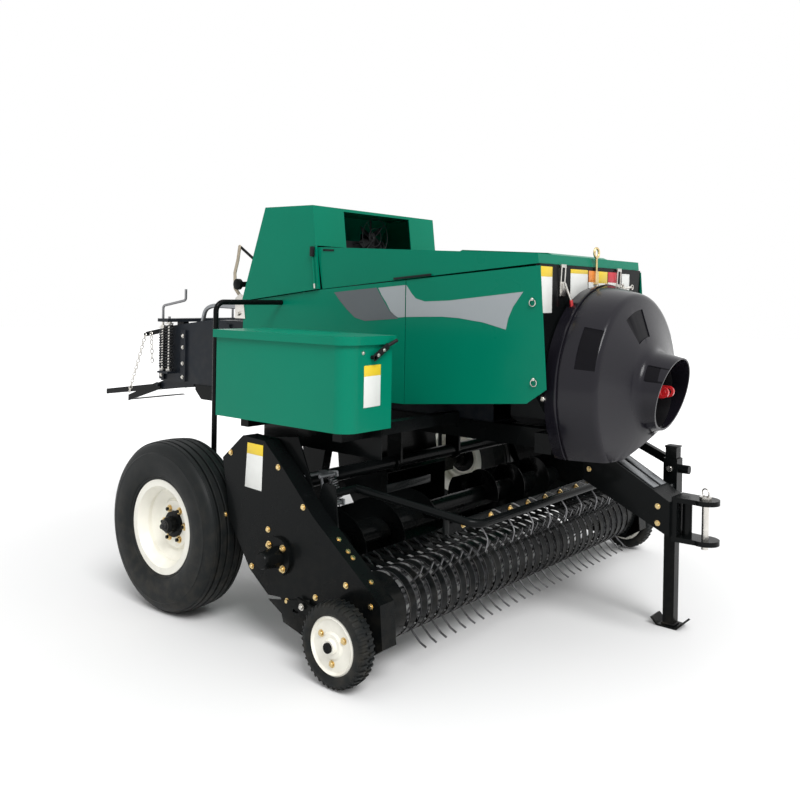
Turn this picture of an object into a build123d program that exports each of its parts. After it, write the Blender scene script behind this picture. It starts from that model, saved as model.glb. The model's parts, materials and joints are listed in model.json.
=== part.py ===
"""Square baler of the in-line kind: a towed machine with a wide pickup in front and a bale chamber behind.

Millimetres, +X towards the tractor, +Y to the machine's left, +Z up.
Lengths along X are measured from the main axle; place() moves the whole so that the origin
is under the middle of the overall length, on the ground.
"""
import os
from math import cos, pi, sin, sqrt

from build123d import *

os.makedirs("parts", exist_ok=True)

# Overall reach, from the main axle
HITCH_TIP_X = 2071.0
CHUTE_END_X = -2760.0
ORIGIN_X = -(HITCH_TIP_X + CHUTE_END_X) / 2.0

# Clearances
RUNNING_GAP = 0.05
SEAT_GAP = 0.3
HOOD_GAP = 8.0

# Main wheels and axle
WHEEL_RADIUS = 385.0
TYRE_WIDTH = 226.0
WHEEL_Y = 1118.0
RIM_BEAD_RADIUS = 190.5
RIM_FLANGE_RADIUS = 212.0
RIM_WIDTH = 178.0
RIM_WALL = 6.0
DISC_SETBACK = 62.0
HUB_RADIUS = 58.0
HUB_LENGTH = 150.0
HUB_FLANGE_RADIUS = 88.0
HUB_FLANGE_THICKNESS = 14.0
SPINDLE_RADIUS = 30.0
AXLE_BEAM_SIZE = 90.0
AXLE_SHOULDER = 158.0
AXLE_BEAM_HALF = WHEEL_Y - AXLE_SHOULDER

# Bale chamber
CHAMBER_HALF_INSIDE = 233.0
CHAMBER_WALL = 6.0
CHAMBER_REAR_X = -1400.0
CHAMBER_FRONT_X = 1130.0
CHAMBER_FLOOR_Z = 884.0
CHAMBER_TOP_Z = 1278.0
CHAMBER_REAR_TOP_Z = 1216.0
CHAMBER_COVER_REAR_X = -300.0
RAIL_LINES = (-150.0, 0.0, 150.0)
TENSION_X = (-1330.0, -1264.0)
TENSION_Y = 278.0
TENSION_BEAM_Z = 1254.0

# Frame rails, cross beam and tongue
RAIL_WIDTH = 60.0
RAIL_HEIGHT = 84.0
RAIL_REAR_X = -1030.0
RAIL_FRONT_X = 1420.0
RAIL_OUTER_Y = 250.0
CROSS_BEAM_DEPTH = 80.0
CROSS_BEAM_HALF = 360.0
CROSS_MEMBERS = (-700.0, 90.0, 1150.0, 1340.0)
HANGER_PLATE = 14.0
TONGUE_WIDTH = 160.0
TONGUE_WALL = 8.0
TONGUE_REAR_TOP_Z = 834.0
TONGUE_REAR_BOTTOM_Z = 652.0
CLEVIS_LENGTH = 176.0
TONGUE_FRONT_X = HITCH_TIP_X - CLEVIS_LENGTH
TONGUE_FRONT_TOP_Z = 615.0
TONGUE_FRONT_BOTTOM_Z = 470.0

# Hitch clevis
CLEVIS_PLATE = 20.0
CLEVIS_UPPER_Z = 613.0
CLEVIS_LOWER_Z = 470.0
CLEVIS_WIDTH = 120.0
CLEVIS_NOSE = 57.0
HITCH_PIN_X = HITCH_TIP_X - CLEVIS_NOSE
HITCH_PIN_RADIUS = 14.0
HITCH_PIN_HEAD = 24.0

# Parking jack
JACK_X = 1788.0
JACK_Y = 214.0
JACK_LEG = 50.0
JACK_TOP_Z = 792.0
JACK_SLEEVE_WALL = 6.0
JACK_SLEEVE_Z0 = 590.0
JACK_SLEEVE_Z1 = 745.0
JACK_FOOT_LENGTH = 150.0
JACK_FOOT_WIDTH = 90.0
JACK_FOOT_PLATE = 8.0
JACK_FOOT_LIP = 30.0

# Body panels and hoods
PANEL_Y = 480.0
SHEET = 4.0
PANEL_REAR_X = -321.0
PANEL_SEAM_X = 806.0
PANEL_REAR_TOP_Z = 1396.0
SEAM_CORNER_X = 261.0
SEAM_CORNER_Z = 1466.0
PANEL_FRONT_TOP = (1503.0, 1576.0)
PANEL_FRONT_LOW = (1540.0, 1076.0)
PANEL_FRONT_FOOT = (1449.0, 1012.0)
PANEL_FOOT_REAR_X = 688.0
PANEL_FOOT_REAR_Z = 940.0
HOOD_HALF = 475.0
HOOD_REAR_TOP = (228.0, 1678.0)
HOOD_FRONT_TOP = (1489.0, 1624.0)
HOOD_FRONT_LIP_Z = 1585.0
KNOTTER_HALF = 490.0
KNOTTER_TOP_FRONT = (206.0, 1887.0)
KNOTTER_TOP_REAR = (-144.0, 1892.0)
KNOTTER_BASE_REAR = (-321.0, 1401.0)
WINDOW_HALF = 267.0
WINDOW_LOW_Z = 1684.0
WINDOW_HIGH_Z = 1872.0
BULKHEAD_X = 1480.0
BULKHEAD_THICKNESS = 20.0
BULKHEAD_TOP_Z = 1583.5
BULKHEAD_FACE_X = BULKHEAD_X + BULKHEAD_THICKNESS
REAR_BULKHEAD_TOP_Z = 1400.7
EYE_Z = 1648.0

# Flywheel cover
COVER_Z = 1057.0
COVER_REAR_RADIUS = 440.0
COVER_RING_X = 1567.0
COVER_RING_RADIUS = 452.0
COVER_DRUM_X = 1722.0
COVER_DRUM_RADIUS = 408.0
COVER_THROAT_X = 1790.0
COVER_THROAT_RADIUS = 168.0
COVER_MOUTH_X = 1876.0
COVER_MOUTH_RADIUS = 150.0
COVER_WALL = 7.0
COVER_CUT_Z = 776.0
COVER_CUT_RISE = 0.41
FLYWHEEL_RADIUS = 235.0
FLYWHEEL_THICKNESS = 70.0
FLYWHEEL_X = 1570.0
SHAFT_RADIUS = 25.0
YOKE_X = 1800.0
YOKE_LENGTH = 66.0
YOKE_RADIUS = 34.0
YOKE_EAR = 12.0
YOKE_BORE_RADIUS = 13.5

# Twine boxes
BOX_INNER_Y = 862.0
BOX_OUTER_Y = 1128.0
BOX_REAR_X = 276.0
BOX_FRONT_X = 1052.0
BOX_BOTTOM_Z = 910.0
BOX_TOP_Z = 1250.0
BOX_CORNER = 66.0
LID_HEIGHT = 34.0
LID_OVERHANG = 12.0
LID_BARREL_RADIUS = 5.0
LID_BARREL_INSET = 86.0
BOX_RIM_Z = BOX_TOP_Z + LID_HEIGHT - SHEET - SEAT_GAP

# Pickup
PIVOT_X = 560.0
PIVOT_Z = 622.0
PIVOT_TUBE_RADIUS = 32.0
PICKUP_HALF = 1060.0
SHIELD_DEPTH = 80.0
SHIELD_OUTER_Y = PICKUP_HALF + SHIELD_DEPTH
SHIELD_SHEET = 5.0
REEL_X = 1105.0
REEL_Z = 238.0
REEL_TIP_RADIUS = 222.0
BAND_RADIUS = 130.0
BAND_SHEET = 3.0
BAND_WIDTH = 42.0
END_BAND_WIDTH = 84.0
TINE_PITCH = 66.0
TINE_COUNT = 28
TINE_BARS = 4
TINE_WIRE = 6.0
TINE_BAR_CIRCLE = 82.0
TINE_BAR_RADIUS = 12.0
REEL_SHAFT_RADIUS = 22.0
AUGER_X = 707.0
AUGER_Z = 385.0
AUGER_RADIUS = 140.0
AUGER_TUBE_RADIUS = 55.0
AUGER_PITCH = 260.0
FEED_HALF = 230.0
TROUGH_GAP = 22.0
TROUGH_SHEET = 4.0
WINDGUARD_RADIUS = 17.0

# Gauge wheels
GAUGE_X = 1109.0
GAUGE_OFFSET = 73.0
GAUGE_Y = SHIELD_OUTER_Y + GAUGE_OFFSET
GAUGE_RADIUS = 160.0
GAUGE_WIDTH = 82.0
GAUGE_RIM_RADIUS = 108.0
GAUGE_PIN_RADIUS = 12.5

# Bale chute
CHUTE_HINGE_X = -1452.0
CHUTE_HINGE_Z = 842.0
CHUTE_EAR_FRONT_X = -1102.0
CHUTE_RAIL_Y = 215.0
CHUTE_SHORT_X = -1790.0
CHUTE_SHORT_Z = 726.0
CHUTE_LONG_Z = 655.0


def place(shape):
    """Moves a shape from the axle's datum to the machine's origin."""
    return Pos(ORIGIN_X, 0, 0) * shape


def save(name, shape):
    """Writes one sub-part as parts/name.step."""
    export_step(place(shape), "parts/%s.step" % name)


def block(x0, x1, y0, y1, z0, z1):
    """A box between two corners."""
    size = Box(x1 - x0, y1 - y0, z1 - z0)
    return Pos((x0 + x1) / 2, (y0 + y1) / 2, (z0 + z1) / 2) * size


def side_face(points):
    """A face in the XZ plane from (x, z) points."""
    return make_face(Polyline(*[(x, 0, z) for x, z in points], close=True))


def side_prism(points, y0, y1):
    """An outline of (x, z) points, as thick as y0 to y1."""
    return Pos(0, y0, 0) * extrude(side_face(points), amount=y1 - y0, dir=(0, 1, 0))


def front_prism(points, x0, x1):
    """An outline of (y, z) points, as long as x0 to x1."""
    face = make_face(Polyline(*[(0, y, z) for y, z in points], close=True))
    return Pos(x0, 0, 0) * extrude(face, amount=x1 - x0, dir=(1, 0, 0))


def rod(start, end, radius):
    """A round bar between two points."""
    a, b = Vector(*start), Vector(*end)
    along = b - a
    return Plane(origin=(a + b) / 2, z_dir=along) * Cylinder(radius, along.length)


def bent_tube(points, radius, bend, wall=0.0):
    """A round tube along straight runs joined by bends, solid where wall is 0."""
    path = FilletPolyline(*points, radius=bend)
    start = Plane(origin=path @ 0, z_dir=path % 0)
    tube = sweep(start * Circle(radius), path=path)
    if wall:
        tube = tube - sweep(start * Circle(radius - wall), path=path)
    return tube


def wheel_revolve(points, x, y, z):
    """Turns an outline of (offset along Y, radius) points about a wheel's axis."""
    face = make_face(Polyline(*[(x, y + across, z + r) for across, r in points], close=True))
    return revolve(face, axis=Axis((x, y, z), (0, 1, 0)), revolution_arc=360)


def shaft_revolve(points, z):
    """Turns an outline of (x, radius) points about the line of the drive shaft."""
    face = make_face(Polyline(*[(x, 0, z + r) for x, r in points], close=True))
    return revolve(face, axis=Axis((0, 0, z), (1, 0, 0)), revolution_arc=360)


def mirrored(shape):
    """The same piece on the other side of the machine."""
    return mirror(shape, about=Plane.XZ)


def both_sides(shape):
    """A piece and its mirror image as one node."""
    return Compound(children=[shape, mirrored(shape)])


def joined(pieces):
    """Solids that don't touch, kept together as one node."""
    return Compound(children=list(pieces))


# Main wheels

def main_tyre():
    """A ribbed implement tyre, right hand side, as one closed ring."""
    half = TYRE_WIDTH / 2
    crown = WHEEL_RADIUS
    profile = [
        (-RIM_WIDTH / 2 + RIM_WALL + SEAT_GAP, RIM_BEAD_RADIUS + SEAT_GAP),
        (-RIM_WIDTH / 2 + RIM_WALL + SEAT_GAP, RIM_FLANGE_RADIUS + 3),
        (-half + 6, RIM_BEAD_RADIUS + 44),
        (-half, crown - 92),
        (-half + 8, crown - 44),
        (-half + 28, crown - 12),
        (-half + 52, crown - 2),
        (0, crown),
        (half - 52, crown - 2),
        (half - 28, crown - 12),
        (half - 8, crown - 44),
        (half, crown - 92),
        (half - 6, RIM_BEAD_RADIUS + 44),
        (RIM_WIDTH / 2 - RIM_WALL - SEAT_GAP, RIM_FLANGE_RADIUS + 3),
        (RIM_WIDTH / 2 - RIM_WALL - SEAT_GAP, RIM_BEAD_RADIUS + SEAT_GAP),
    ]
    return wheel_revolve(profile, 0, -WHEEL_Y, WHEEL_RADIUS)


def main_rim():
    """A deep-dished wheel: barrel with two flanges and a disc that steps in to the hub."""
    half = RIM_WIDTH / 2
    barrel = [
        (-half, RIM_FLANGE_RADIUS),
        (-half, RIM_BEAD_RADIUS - RIM_WALL - 2),
        (-half + 44, RIM_BEAD_RADIUS - 30),
        (half - 30, RIM_BEAD_RADIUS - 30),
        (half, RIM_BEAD_RADIUS - RIM_WALL - 2),
        (half, RIM_FLANGE_RADIUS),
        (half - RIM_WALL, RIM_FLANGE_RADIUS),
        (half - RIM_WALL, RIM_BEAD_RADIUS),
        (half - 34, RIM_BEAD_RADIUS - 30 + RIM_WALL),
        (-half + 48, RIM_BEAD_RADIUS - 30 + RIM_WALL),
        (-half + RIM_WALL, RIM_BEAD_RADIUS),
        (-half + RIM_WALL, RIM_FLANGE_RADIUS),
    ]
    seat = -half + DISC_SETBACK
    disc = [
        (seat, RIM_BEAD_RADIUS - 30),
        (seat + 26, RIM_BEAD_RADIUS - 62),
        (seat + 30, 118),
        (seat + 12, 104),
        (seat + 12, HUB_RADIUS + 2),
        (seat + 20, HUB_RADIUS + 2),
        (seat + 20, 101),
        (seat + 38, 115),
        (seat + 34, RIM_BEAD_RADIUS - 58),
        (seat + 10, RIM_BEAD_RADIUS - 30),
    ]
    wheel = wheel_revolve(barrel, 0, -WHEEL_Y, WHEEL_RADIUS)
    return wheel + wheel_revolve(disc, 0, -WHEEL_Y, WHEEL_RADIUS)


def hub_face_y():
    """The outer face of the hub's flange, where the wheel disc is bolted on."""
    return -WHEEL_Y - RIM_WIDTH / 2 + DISC_SETBACK + 20


def main_hub():
    """A turned hub on its spindle: flange behind the disc, barrel and dust cap."""
    seat = hub_face_y()
    across = seat + WHEEL_Y
    outline = [
        (across - 58, 0),
        (across - 58, 26),
        (across - 50, 36),
        (across - 22, 38),
        (across - 20, HUB_RADIUS),
        (across, HUB_RADIUS),
        (across, HUB_FLANGE_RADIUS),
        (across + HUB_FLANGE_THICKNESS, HUB_FLANGE_RADIUS),
        (across + HUB_FLANGE_THICKNESS + 6, HUB_RADIUS - 4),
        (across + HUB_LENGTH - 70, 50),
        (across + HUB_LENGTH - 70, SPINDLE_RADIUS + RUNNING_GAP),
        (across - 40, SPINDLE_RADIUS + RUNNING_GAP),
        (across - 40, 0),
    ]
    hub = wheel_revolve(outline, 0, -WHEEL_Y, WHEEL_RADIUS)
    for turn in range(6):
        angle = turn * pi / 3
        x, z = 74 * cos(angle), WHEEL_RADIUS + 74 * sin(angle)
        hub += rod((x, seat - 26, z), (x, seat + 2, z), 8)
    return hub


def drilled_rim():
    """The wheel with its stud holes and hand holes."""
    rim = main_rim()
    seat = hub_face_y()
    for turn in range(6):
        angle = turn * pi / 3
        x, z = 74 * cos(angle), WHEEL_RADIUS + 74 * sin(angle)
        rim -= rod((x, seat - 30, z), (x, seat + 10, z), 8 + SEAT_GAP)
    return rim


# Gauge wheels

def gauge_tyre():
    """The small pneumatic tyre of a gauge wheel, right hand side."""
    half = GAUGE_WIDTH / 2
    profile = [
        (-half + 10, GAUGE_RIM_RADIUS + SEAT_GAP),
        (-half, GAUGE_RIM_RADIUS + 22),
        (-half + 6, GAUGE_RADIUS - 14),
        (-half + 18, GAUGE_RADIUS - 3),
        (0, GAUGE_RADIUS),
        (half - 18, GAUGE_RADIUS - 3),
        (half - 6, GAUGE_RADIUS - 14),
        (half, GAUGE_RIM_RADIUS + 22),
        (half - 10, GAUGE_RIM_RADIUS + SEAT_GAP),
    ]
    return wheel_revolve(profile, GAUGE_X, -GAUGE_Y, GAUGE_RADIUS)


def gauge_disc():
    """The pressed disc wheel with a rolled edge, a raised ring and a bushed hub."""
    half = GAUGE_WIDTH / 2
    bore = GAUGE_PIN_RADIUS + RUNNING_GAP
    profile = [
        (-half + 10, GAUGE_RIM_RADIUS),
        (-half + 4, GAUGE_RIM_RADIUS - 6),
        (-half + 14, GAUGE_RIM_RADIUS - 14),
        (-half + 14, 52),
        (-half + 6, 44),
        (-half + 6, 30),
        (-half - 8, 26),
        (-half - 8, bore),
        (half - 6, bore),
        (half - 6, 26),
        (-half + 14, 28),
        (-half + 14, 46),
        (-half + 22, 56),
        (-half + 22, GAUGE_RIM_RADIUS - 18),
        (half - 10, GAUGE_RIM_RADIUS - 12),
        (half - 10, GAUGE_RIM_RADIUS),
    ]
    return wheel_revolve(profile, GAUGE_X, -GAUGE_Y, GAUGE_RADIUS)


def gauge_arm():
    """A flat arm off the end shield with the wheel's pin and its head."""
    inner = -SHIELD_OUTER_Y - 8
    outer = inner - 12
    arm = side_prism([(835, 252), (870, 198), (1085, 132), (1140, 142), (1140, 186), (1095, 196)],
                     outer, inner)
    for x, z in ((872, 226), (968, 194)):
        arm += rod((x, inner, z), (x, -SHIELD_OUTER_Y, z), 16)
        arm += rod((x, outer - 9, z), (x, outer, z), 11)
    head = -GAUGE_Y - GAUGE_WIDTH / 2 - 8 - RUNNING_GAP
    arm += rod((GAUGE_X, inner, GAUGE_RADIUS), (GAUGE_X, head, GAUGE_RADIUS), GAUGE_PIN_RADIUS)
    arm += rod((GAUGE_X, head, GAUGE_RADIUS), (GAUGE_X, head - 8, GAUGE_RADIUS), 19)
    return arm


# Frame

def main_axle():
    """A square axle beam with a turned spindle at each end."""
    half = AXLE_BEAM_SIZE / 2
    spindle_end = -hub_face_y() + 40 - SEAT_GAP
    beam = block(-half, half, -AXLE_BEAM_HALF, AXLE_BEAM_HALF, WHEEL_RADIUS - half, WHEEL_RADIUS + half)
    beam += rod((0, -AXLE_BEAM_HALF - 24, WHEEL_RADIUS), (0, AXLE_BEAM_HALF + 24, WHEEL_RADIUS), 42)
    return beam + rod((0, -spindle_end, WHEEL_RADIUS), (0, spindle_end, WHEEL_RADIUS), SPINDLE_RADIUS)


def main_frame():
    """Two longitudinal rails, the arms under the twine boxes, and the cross members."""
    z1 = CHAMBER_FLOOR_Z - CHAMBER_WALL
    z0 = z1 - RAIL_HEIGHT
    inner_y = RAIL_OUTER_Y - RAIL_WIDTH
    rail = block(RAIL_REAR_X, RAIL_FRONT_X, -RAIL_OUTER_Y, -inner_y, z0, z1)
    rail -= side_prism([(RAIL_REAR_X - 1, z0 - 1), (RAIL_REAR_X + 60, z0 - 1), (RAIL_REAR_X - 1, z1 - 30)],
                       -RAIL_OUTER_Y - 1, -inner_y + 1)
    side = rail + box_arms()
    frame = side + mirrored(side)
    frame += block(RAIL_FRONT_X, RAIL_FRONT_X + CROSS_BEAM_DEPTH, -CROSS_BEAM_HALF, CROSS_BEAM_HALF, z0, z1)
    for x in CROSS_MEMBERS:
        frame += block(x, x + 50, -inner_y, inner_y, z0 + 10, z1)
    return frame


def axle_hanger():
    """The block between the right rail and the axle beam."""
    z1 = CHAMBER_FLOOR_Z - CHAMBER_WALL - RAIL_HEIGHT
    half = AXLE_BEAM_SIZE / 2
    z0 = WHEEL_RADIUS + half
    return side_prism([(-half, z0), (half, z0), (120, z1), (-120, z1)], -RAIL_OUTER_Y, -RAIL_OUTER_Y + RAIL_WIDTH)


def pivot_hanger():
    """The plate under the right rail that carries the pickup's pivot tube."""
    z1 = CHAMBER_FLOOR_Z - CHAMBER_WALL - RAIL_HEIGHT
    half = 44
    y0, y1 = -RAIL_OUTER_Y, -RAIL_OUTER_Y + HANGER_PLATE
    plate = block(PIVOT_X - half, PIVOT_X + half, y0, y1, PIVOT_Z, z1)
    plate += rod((PIVOT_X, y0, PIVOT_Z), (PIVOT_X, y1, PIVOT_Z), half)
    return plate - rod((PIVOT_X, y0 - 1, PIVOT_Z), (PIVOT_X, y1 + 1, PIVOT_Z), PIVOT_TUBE_RADIUS + RUNNING_GAP)


def box_arms():
    """Square tubes from the right rail out under the twine box."""
    z1 = BOX_BOTTOM_Z
    z0 = CHAMBER_FLOOR_Z - CHAMBER_WALL - 40
    arms = []
    for x in (340.0, 900.0):
        arm = block(x, x + 50, -1040, -RAIL_OUTER_Y, z1 - 50, z1)
        arms.append(arm + block(x, x + 50, -RAIL_OUTER_Y - 20, -RAIL_OUTER_Y, z0, z1 - 50))
    return arms[0] + arms[1]


def tongue():
    """The sloping box beam from the front cross beam down to the hitch."""
    rear_x = RAIL_FRONT_X + CROSS_BEAM_DEPTH
    outline = [
        (rear_x, TONGUE_REAR_BOTTOM_Z),
        (rear_x, TONGUE_REAR_TOP_Z),
        (TONGUE_FRONT_X, TONGUE_FRONT_TOP_Z),
        (TONGUE_FRONT_X, TONGUE_FRONT_BOTTOM_Z),
    ]
    half = TONGUE_WIDTH / 2
    beam = side_prism(outline, -half, half)
    wall = TONGUE_WALL
    inside = [
        (rear_x - 1, TONGUE_REAR_BOTTOM_Z + wall + 2),
        (rear_x - 1, TONGUE_REAR_TOP_Z - wall - 2),
        (TONGUE_FRONT_X - 90, TONGUE_FRONT_TOP_Z + 30),
        (TONGUE_FRONT_X - 90, TONGUE_FRONT_BOTTOM_Z + 60),
    ]
    return beam - side_prism(inside, -half + wall, half - wall)


def hitch_clevis():
    """Two ears off a back plate, rounded about the pin's hole, with an upright tube between them."""
    z0, z1 = CLEVIS_LOWER_Z, CLEVIS_UPPER_Z
    t = CLEVIS_PLATE
    back_x = TONGUE_FRONT_X + 22
    half, nose = CLEVIS_WIDTH / 2, HITCH_TIP_X - HITCH_PIN_X
    fork = side_prism([
        (TONGUE_FRONT_X, z0 - t), (HITCH_TIP_X, z0 - t), (HITCH_TIP_X, z0), (back_x, z0),
        (back_x, z1), (HITCH_TIP_X, z1), (HITCH_TIP_X, z1 + t), (TONGUE_FRONT_X, z1 + t),
    ], -half, half)
    ears = make_face(Polyline((TONGUE_FRONT_X, -half), (HITCH_PIN_X, -nose + 6), (HITCH_PIN_X, nose - 6),
                              (TONGUE_FRONT_X, half), close=True)) + Pos(HITCH_PIN_X, 0) * Circle(nose)
    fork = fork & Pos(0, 0, z0 - t) * extrude(ears, amount=z1 - z0 + 2 * t, dir=(0, 0, 1))
    fork += rod((back_x + 22, 0, z0 - t / 2), (back_x + 22, 0, z1 + t / 2), 20)
    return fork - rod((HITCH_PIN_X, 0, z0 - 2 * t), (HITCH_PIN_X, 0, z1 + 2 * t), HITCH_PIN_RADIUS)


def hitch_pin():
    """The hitch pin with its round head, standing in both ears."""
    z0, z1 = CLEVIS_LOWER_Z - CLEVIS_PLATE - 22, CLEVIS_UPPER_Z + CLEVIS_PLATE
    pin = rod((HITCH_PIN_X, 0, z0), (HITCH_PIN_X, 0, z1), HITCH_PIN_RADIUS - RUNNING_GAP)
    pin += rod((HITCH_PIN_X, 0, CLEVIS_LOWER_Z), (HITCH_PIN_X, 0, CLEVIS_UPPER_Z), HITCH_PIN_RADIUS)
    return pin + rod((HITCH_PIN_X, 0, z1), (HITCH_PIN_X, 0, z1 + 10), HITCH_PIN_HEAD)


def parking_jack():
    """The square leg of the parking jack on its foot plate with turned-up ends."""
    half = JACK_LEG / 2
    leg = block(JACK_X - half, JACK_X + half, JACK_Y - half, JACK_Y + half, JACK_FOOT_PLATE, JACK_TOP_Z)
    length, lip, t = JACK_FOOT_LENGTH / 2, JACK_FOOT_LIP, JACK_FOOT_PLATE
    foot = side_prism([
        (JACK_X - length + lip, 0), (JACK_X + length - lip, 0),
        (JACK_X + length, lip), (JACK_X + length - t, lip + t / 2),
        (JACK_X + length - lip - t / 2, t), (JACK_X - length + lip + t / 2, t),
        (JACK_X - length + t, lip + t / 2), (JACK_X - length, lip),
    ], JACK_Y - JACK_FOOT_WIDTH / 2, JACK_Y + JACK_FOOT_WIDTH / 2)
    return leg + foot


def jack_bracket():
    """The sleeve that clamps the leg, its bracket on the tongue and the cross pin."""
    half = JACK_LEG / 2
    outer = half + JACK_SLEEVE_WALL
    sleeve = block(JACK_X - outer, JACK_X + outer, JACK_Y - outer, JACK_Y + outer, JACK_SLEEVE_Z0, JACK_SLEEVE_Z1)
    sleeve -= block(JACK_X - half, JACK_X + half, JACK_Y - half, JACK_Y + half,
                    JACK_SLEEVE_Z0 - 1, JACK_SLEEVE_Z1 + 1)
    arm = block(JACK_X - 22, JACK_X + 22, TONGUE_WIDTH / 2, JACK_Y - outer, 596, 640)
    boss = rod((JACK_X + outer, JACK_Y, 700), (JACK_X + outer + 44, JACK_Y, 700), 19)
    return sleeve + arm + boss


def support_arm():
    """The bar on the left from the cross beam forward to the jack's sleeve."""
    rear_x = RAIL_FRONT_X + CROSS_BEAM_DEPTH
    outer = JACK_LEG / 2 + JACK_SLEEVE_WALL
    z1 = CHAMBER_FLOOR_Z - CHAMBER_WALL
    return side_prism([(rear_x, z1 - 70), (rear_x, z1 - 30), (JACK_X + 12, 722), (JACK_X + 12, 682)],
                      JACK_Y + outer, JACK_Y + outer + 30)


# Bale chamber

def bale_chamber():
    """The bale tunnel: floor, two side plates with stiffeners, and the closed front part."""
    inner, outer = CHAMBER_HALF_INSIDE, CHAMBER_HALF_INSIDE + CHAMBER_WALL
    side_outline = [
        (CHAMBER_REAR_X, CHAMBER_FLOOR_Z - CHAMBER_WALL),
        (CHAMBER_FRONT_X, CHAMBER_FLOOR_Z - CHAMBER_WALL),
        (CHAMBER_FRONT_X, CHAMBER_TOP_Z),
        (CHAMBER_COVER_REAR_X - 600, CHAMBER_TOP_Z),
        (CHAMBER_REAR_X, CHAMBER_REAR_TOP_Z),
    ]
    tunnel = side_prism(side_outline, -outer, -inner)
    tunnel += side_prism(side_outline, inner, outer)
    tunnel += block(CHAMBER_REAR_X, CHAMBER_FRONT_X, -inner, inner, CHAMBER_FLOOR_Z - CHAMBER_WALL, CHAMBER_FLOOR_Z)
    tunnel += block(CHAMBER_COVER_REAR_X, CHAMBER_FRONT_X, -inner, inner, CHAMBER_TOP_Z - CHAMBER_WALL, CHAMBER_TOP_Z)
    for side in (-1, 1):
        for x in (CHAMBER_REAR_X, -1180.0, -760.0):
            top = CHAMBER_REAR_TOP_Z - 10 if x < -1100 else CHAMBER_TOP_Z - 20
            y0, y1 = sorted((side * outer, side * (outer + 14)))
            tunnel += block(x, x + 46, y0, y1, CHAMBER_FLOOR_Z + 4, top)
    return tunnel + chute_hinge_ear()


def chute_hinge_ear():
    """Where the chute is hung: two long ears under the chamber's rear end, with the hinge bar."""
    ears = []
    z1 = CHAMBER_FLOOR_Z - CHAMBER_WALL
    for side in (-1, 1):
        y0, y1 = sorted((side * (CHUTE_RAIL_Y - 20), side * (CHUTE_RAIL_Y - 8)))
        ear = side_prism([(CHUTE_EAR_FRONT_X, z1), (CHAMBER_REAR_X, z1), (CHUTE_HINGE_X - 20, z1 - 22),
                          (CHUTE_HINGE_X - 20, CHUTE_HINGE_Z - 20), (CHUTE_HINGE_X + 30, CHUTE_HINGE_Z - 24),
                          (CHUTE_EAR_FRONT_X, z1 - 24)],
                         y0, y1)
        ears.append(ear)
    bar = rod((CHUTE_HINGE_X, -CHUTE_RAIL_Y - 20, CHUTE_HINGE_Z), (CHUTE_HINGE_X, CHUTE_RAIL_Y + 20, CHUTE_HINGE_Z), 10)
    return ears[0] + ears[1] + bar


def top_rails():
    """Three rails that close the tunnel from above and are pulled down behind."""
    rails = []
    for y in RAIL_LINES:
        rail = side_prism([
            (CHAMBER_COVER_REAR_X - SEAT_GAP, CHAMBER_TOP_Z - 46),
            (CHAMBER_COVER_REAR_X - SEAT_GAP, CHAMBER_TOP_Z - 2),
            (CHAMBER_COVER_REAR_X - 600, CHAMBER_TOP_Z - 2),
            (CHAMBER_REAR_X, CHAMBER_REAR_TOP_Z - 4),
            (CHAMBER_REAR_X, CHAMBER_REAR_TOP_Z - 48),
            (CHAMBER_COVER_REAR_X - 600, CHAMBER_TOP_Z - 46),
        ], y - 26, y + 26)
        rails.append(rail)
    body = rails[0] + rails[1] + rails[2]
    for x in (-640.0, -900.0):
        body += block(x, x + 40, -176, 176, CHAMBER_TOP_Z - 30, CHAMBER_TOP_Z - 2)
    for y in RAIL_LINES:
        body += block(TENSION_X[0], TENSION_X[1], y - 20, y + 20, CHAMBER_REAR_TOP_Z - 20, TENSION_BEAM_Z)
    return body


def tension_gear():
    """Cross beams above and below the tunnel, the screws, springs and crank handles."""
    z_low = CHAMBER_FLOOR_Z + 60
    z_top = TENSION_BEAM_Z + 34
    beam = block(TENSION_X[0] - 20, TENSION_X[1] + 20, -TENSION_Y - 26, TENSION_Y + 26,
                 TENSION_BEAM_Z, TENSION_BEAM_Z + 20)
    for side in (-1, 1):
        y = side * TENSION_Y
        y0, y1 = sorted((side * (CHAMBER_HALF_INSIDE + CHAMBER_WALL), side * (TENSION_Y + 24)))
        foot = block(TENSION_X[0] - 22, TENSION_X[1] + 22, y0, y1, z_low - 12, z_low)
        beam += foot
        for x in TENSION_X:
            beam += rod((x, y, z_low), (x, y, z_top), 8)
            beam += rod((x, y, z_low), (x, y, z_low + 18), 19)
        beam += crank_handle(side)
    return beam


def crank_handle(side):
    """One crank handle on top of its tension screw."""
    x, y, z = TENSION_X[0], side * TENSION_Y, TENSION_BEAM_Z + 30
    return bent_tube([(x, y, z), (x, y, z + 70), (x + 190, y - side * 30, z + 108),
                      (x + 190, y - side * 30, z + 176)], 8, 20)


# Hoods, panels and bulkheads

def seam_z(x):
    """Height of the seam between the side panels and the hoods."""
    if x >= SEAM_CORNER_X:
        slope = (PANEL_FRONT_TOP[1] - SEAM_CORNER_Z) / (PANEL_FRONT_TOP[0] - SEAM_CORNER_X)
        return SEAM_CORNER_Z + slope * (x - SEAM_CORNER_X)
    slope = (SEAM_CORNER_Z - PANEL_REAR_TOP_Z) / (SEAM_CORNER_X - PANEL_REAR_X)
    return SEAM_CORNER_Z + slope * (x - SEAM_CORNER_X)


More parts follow.
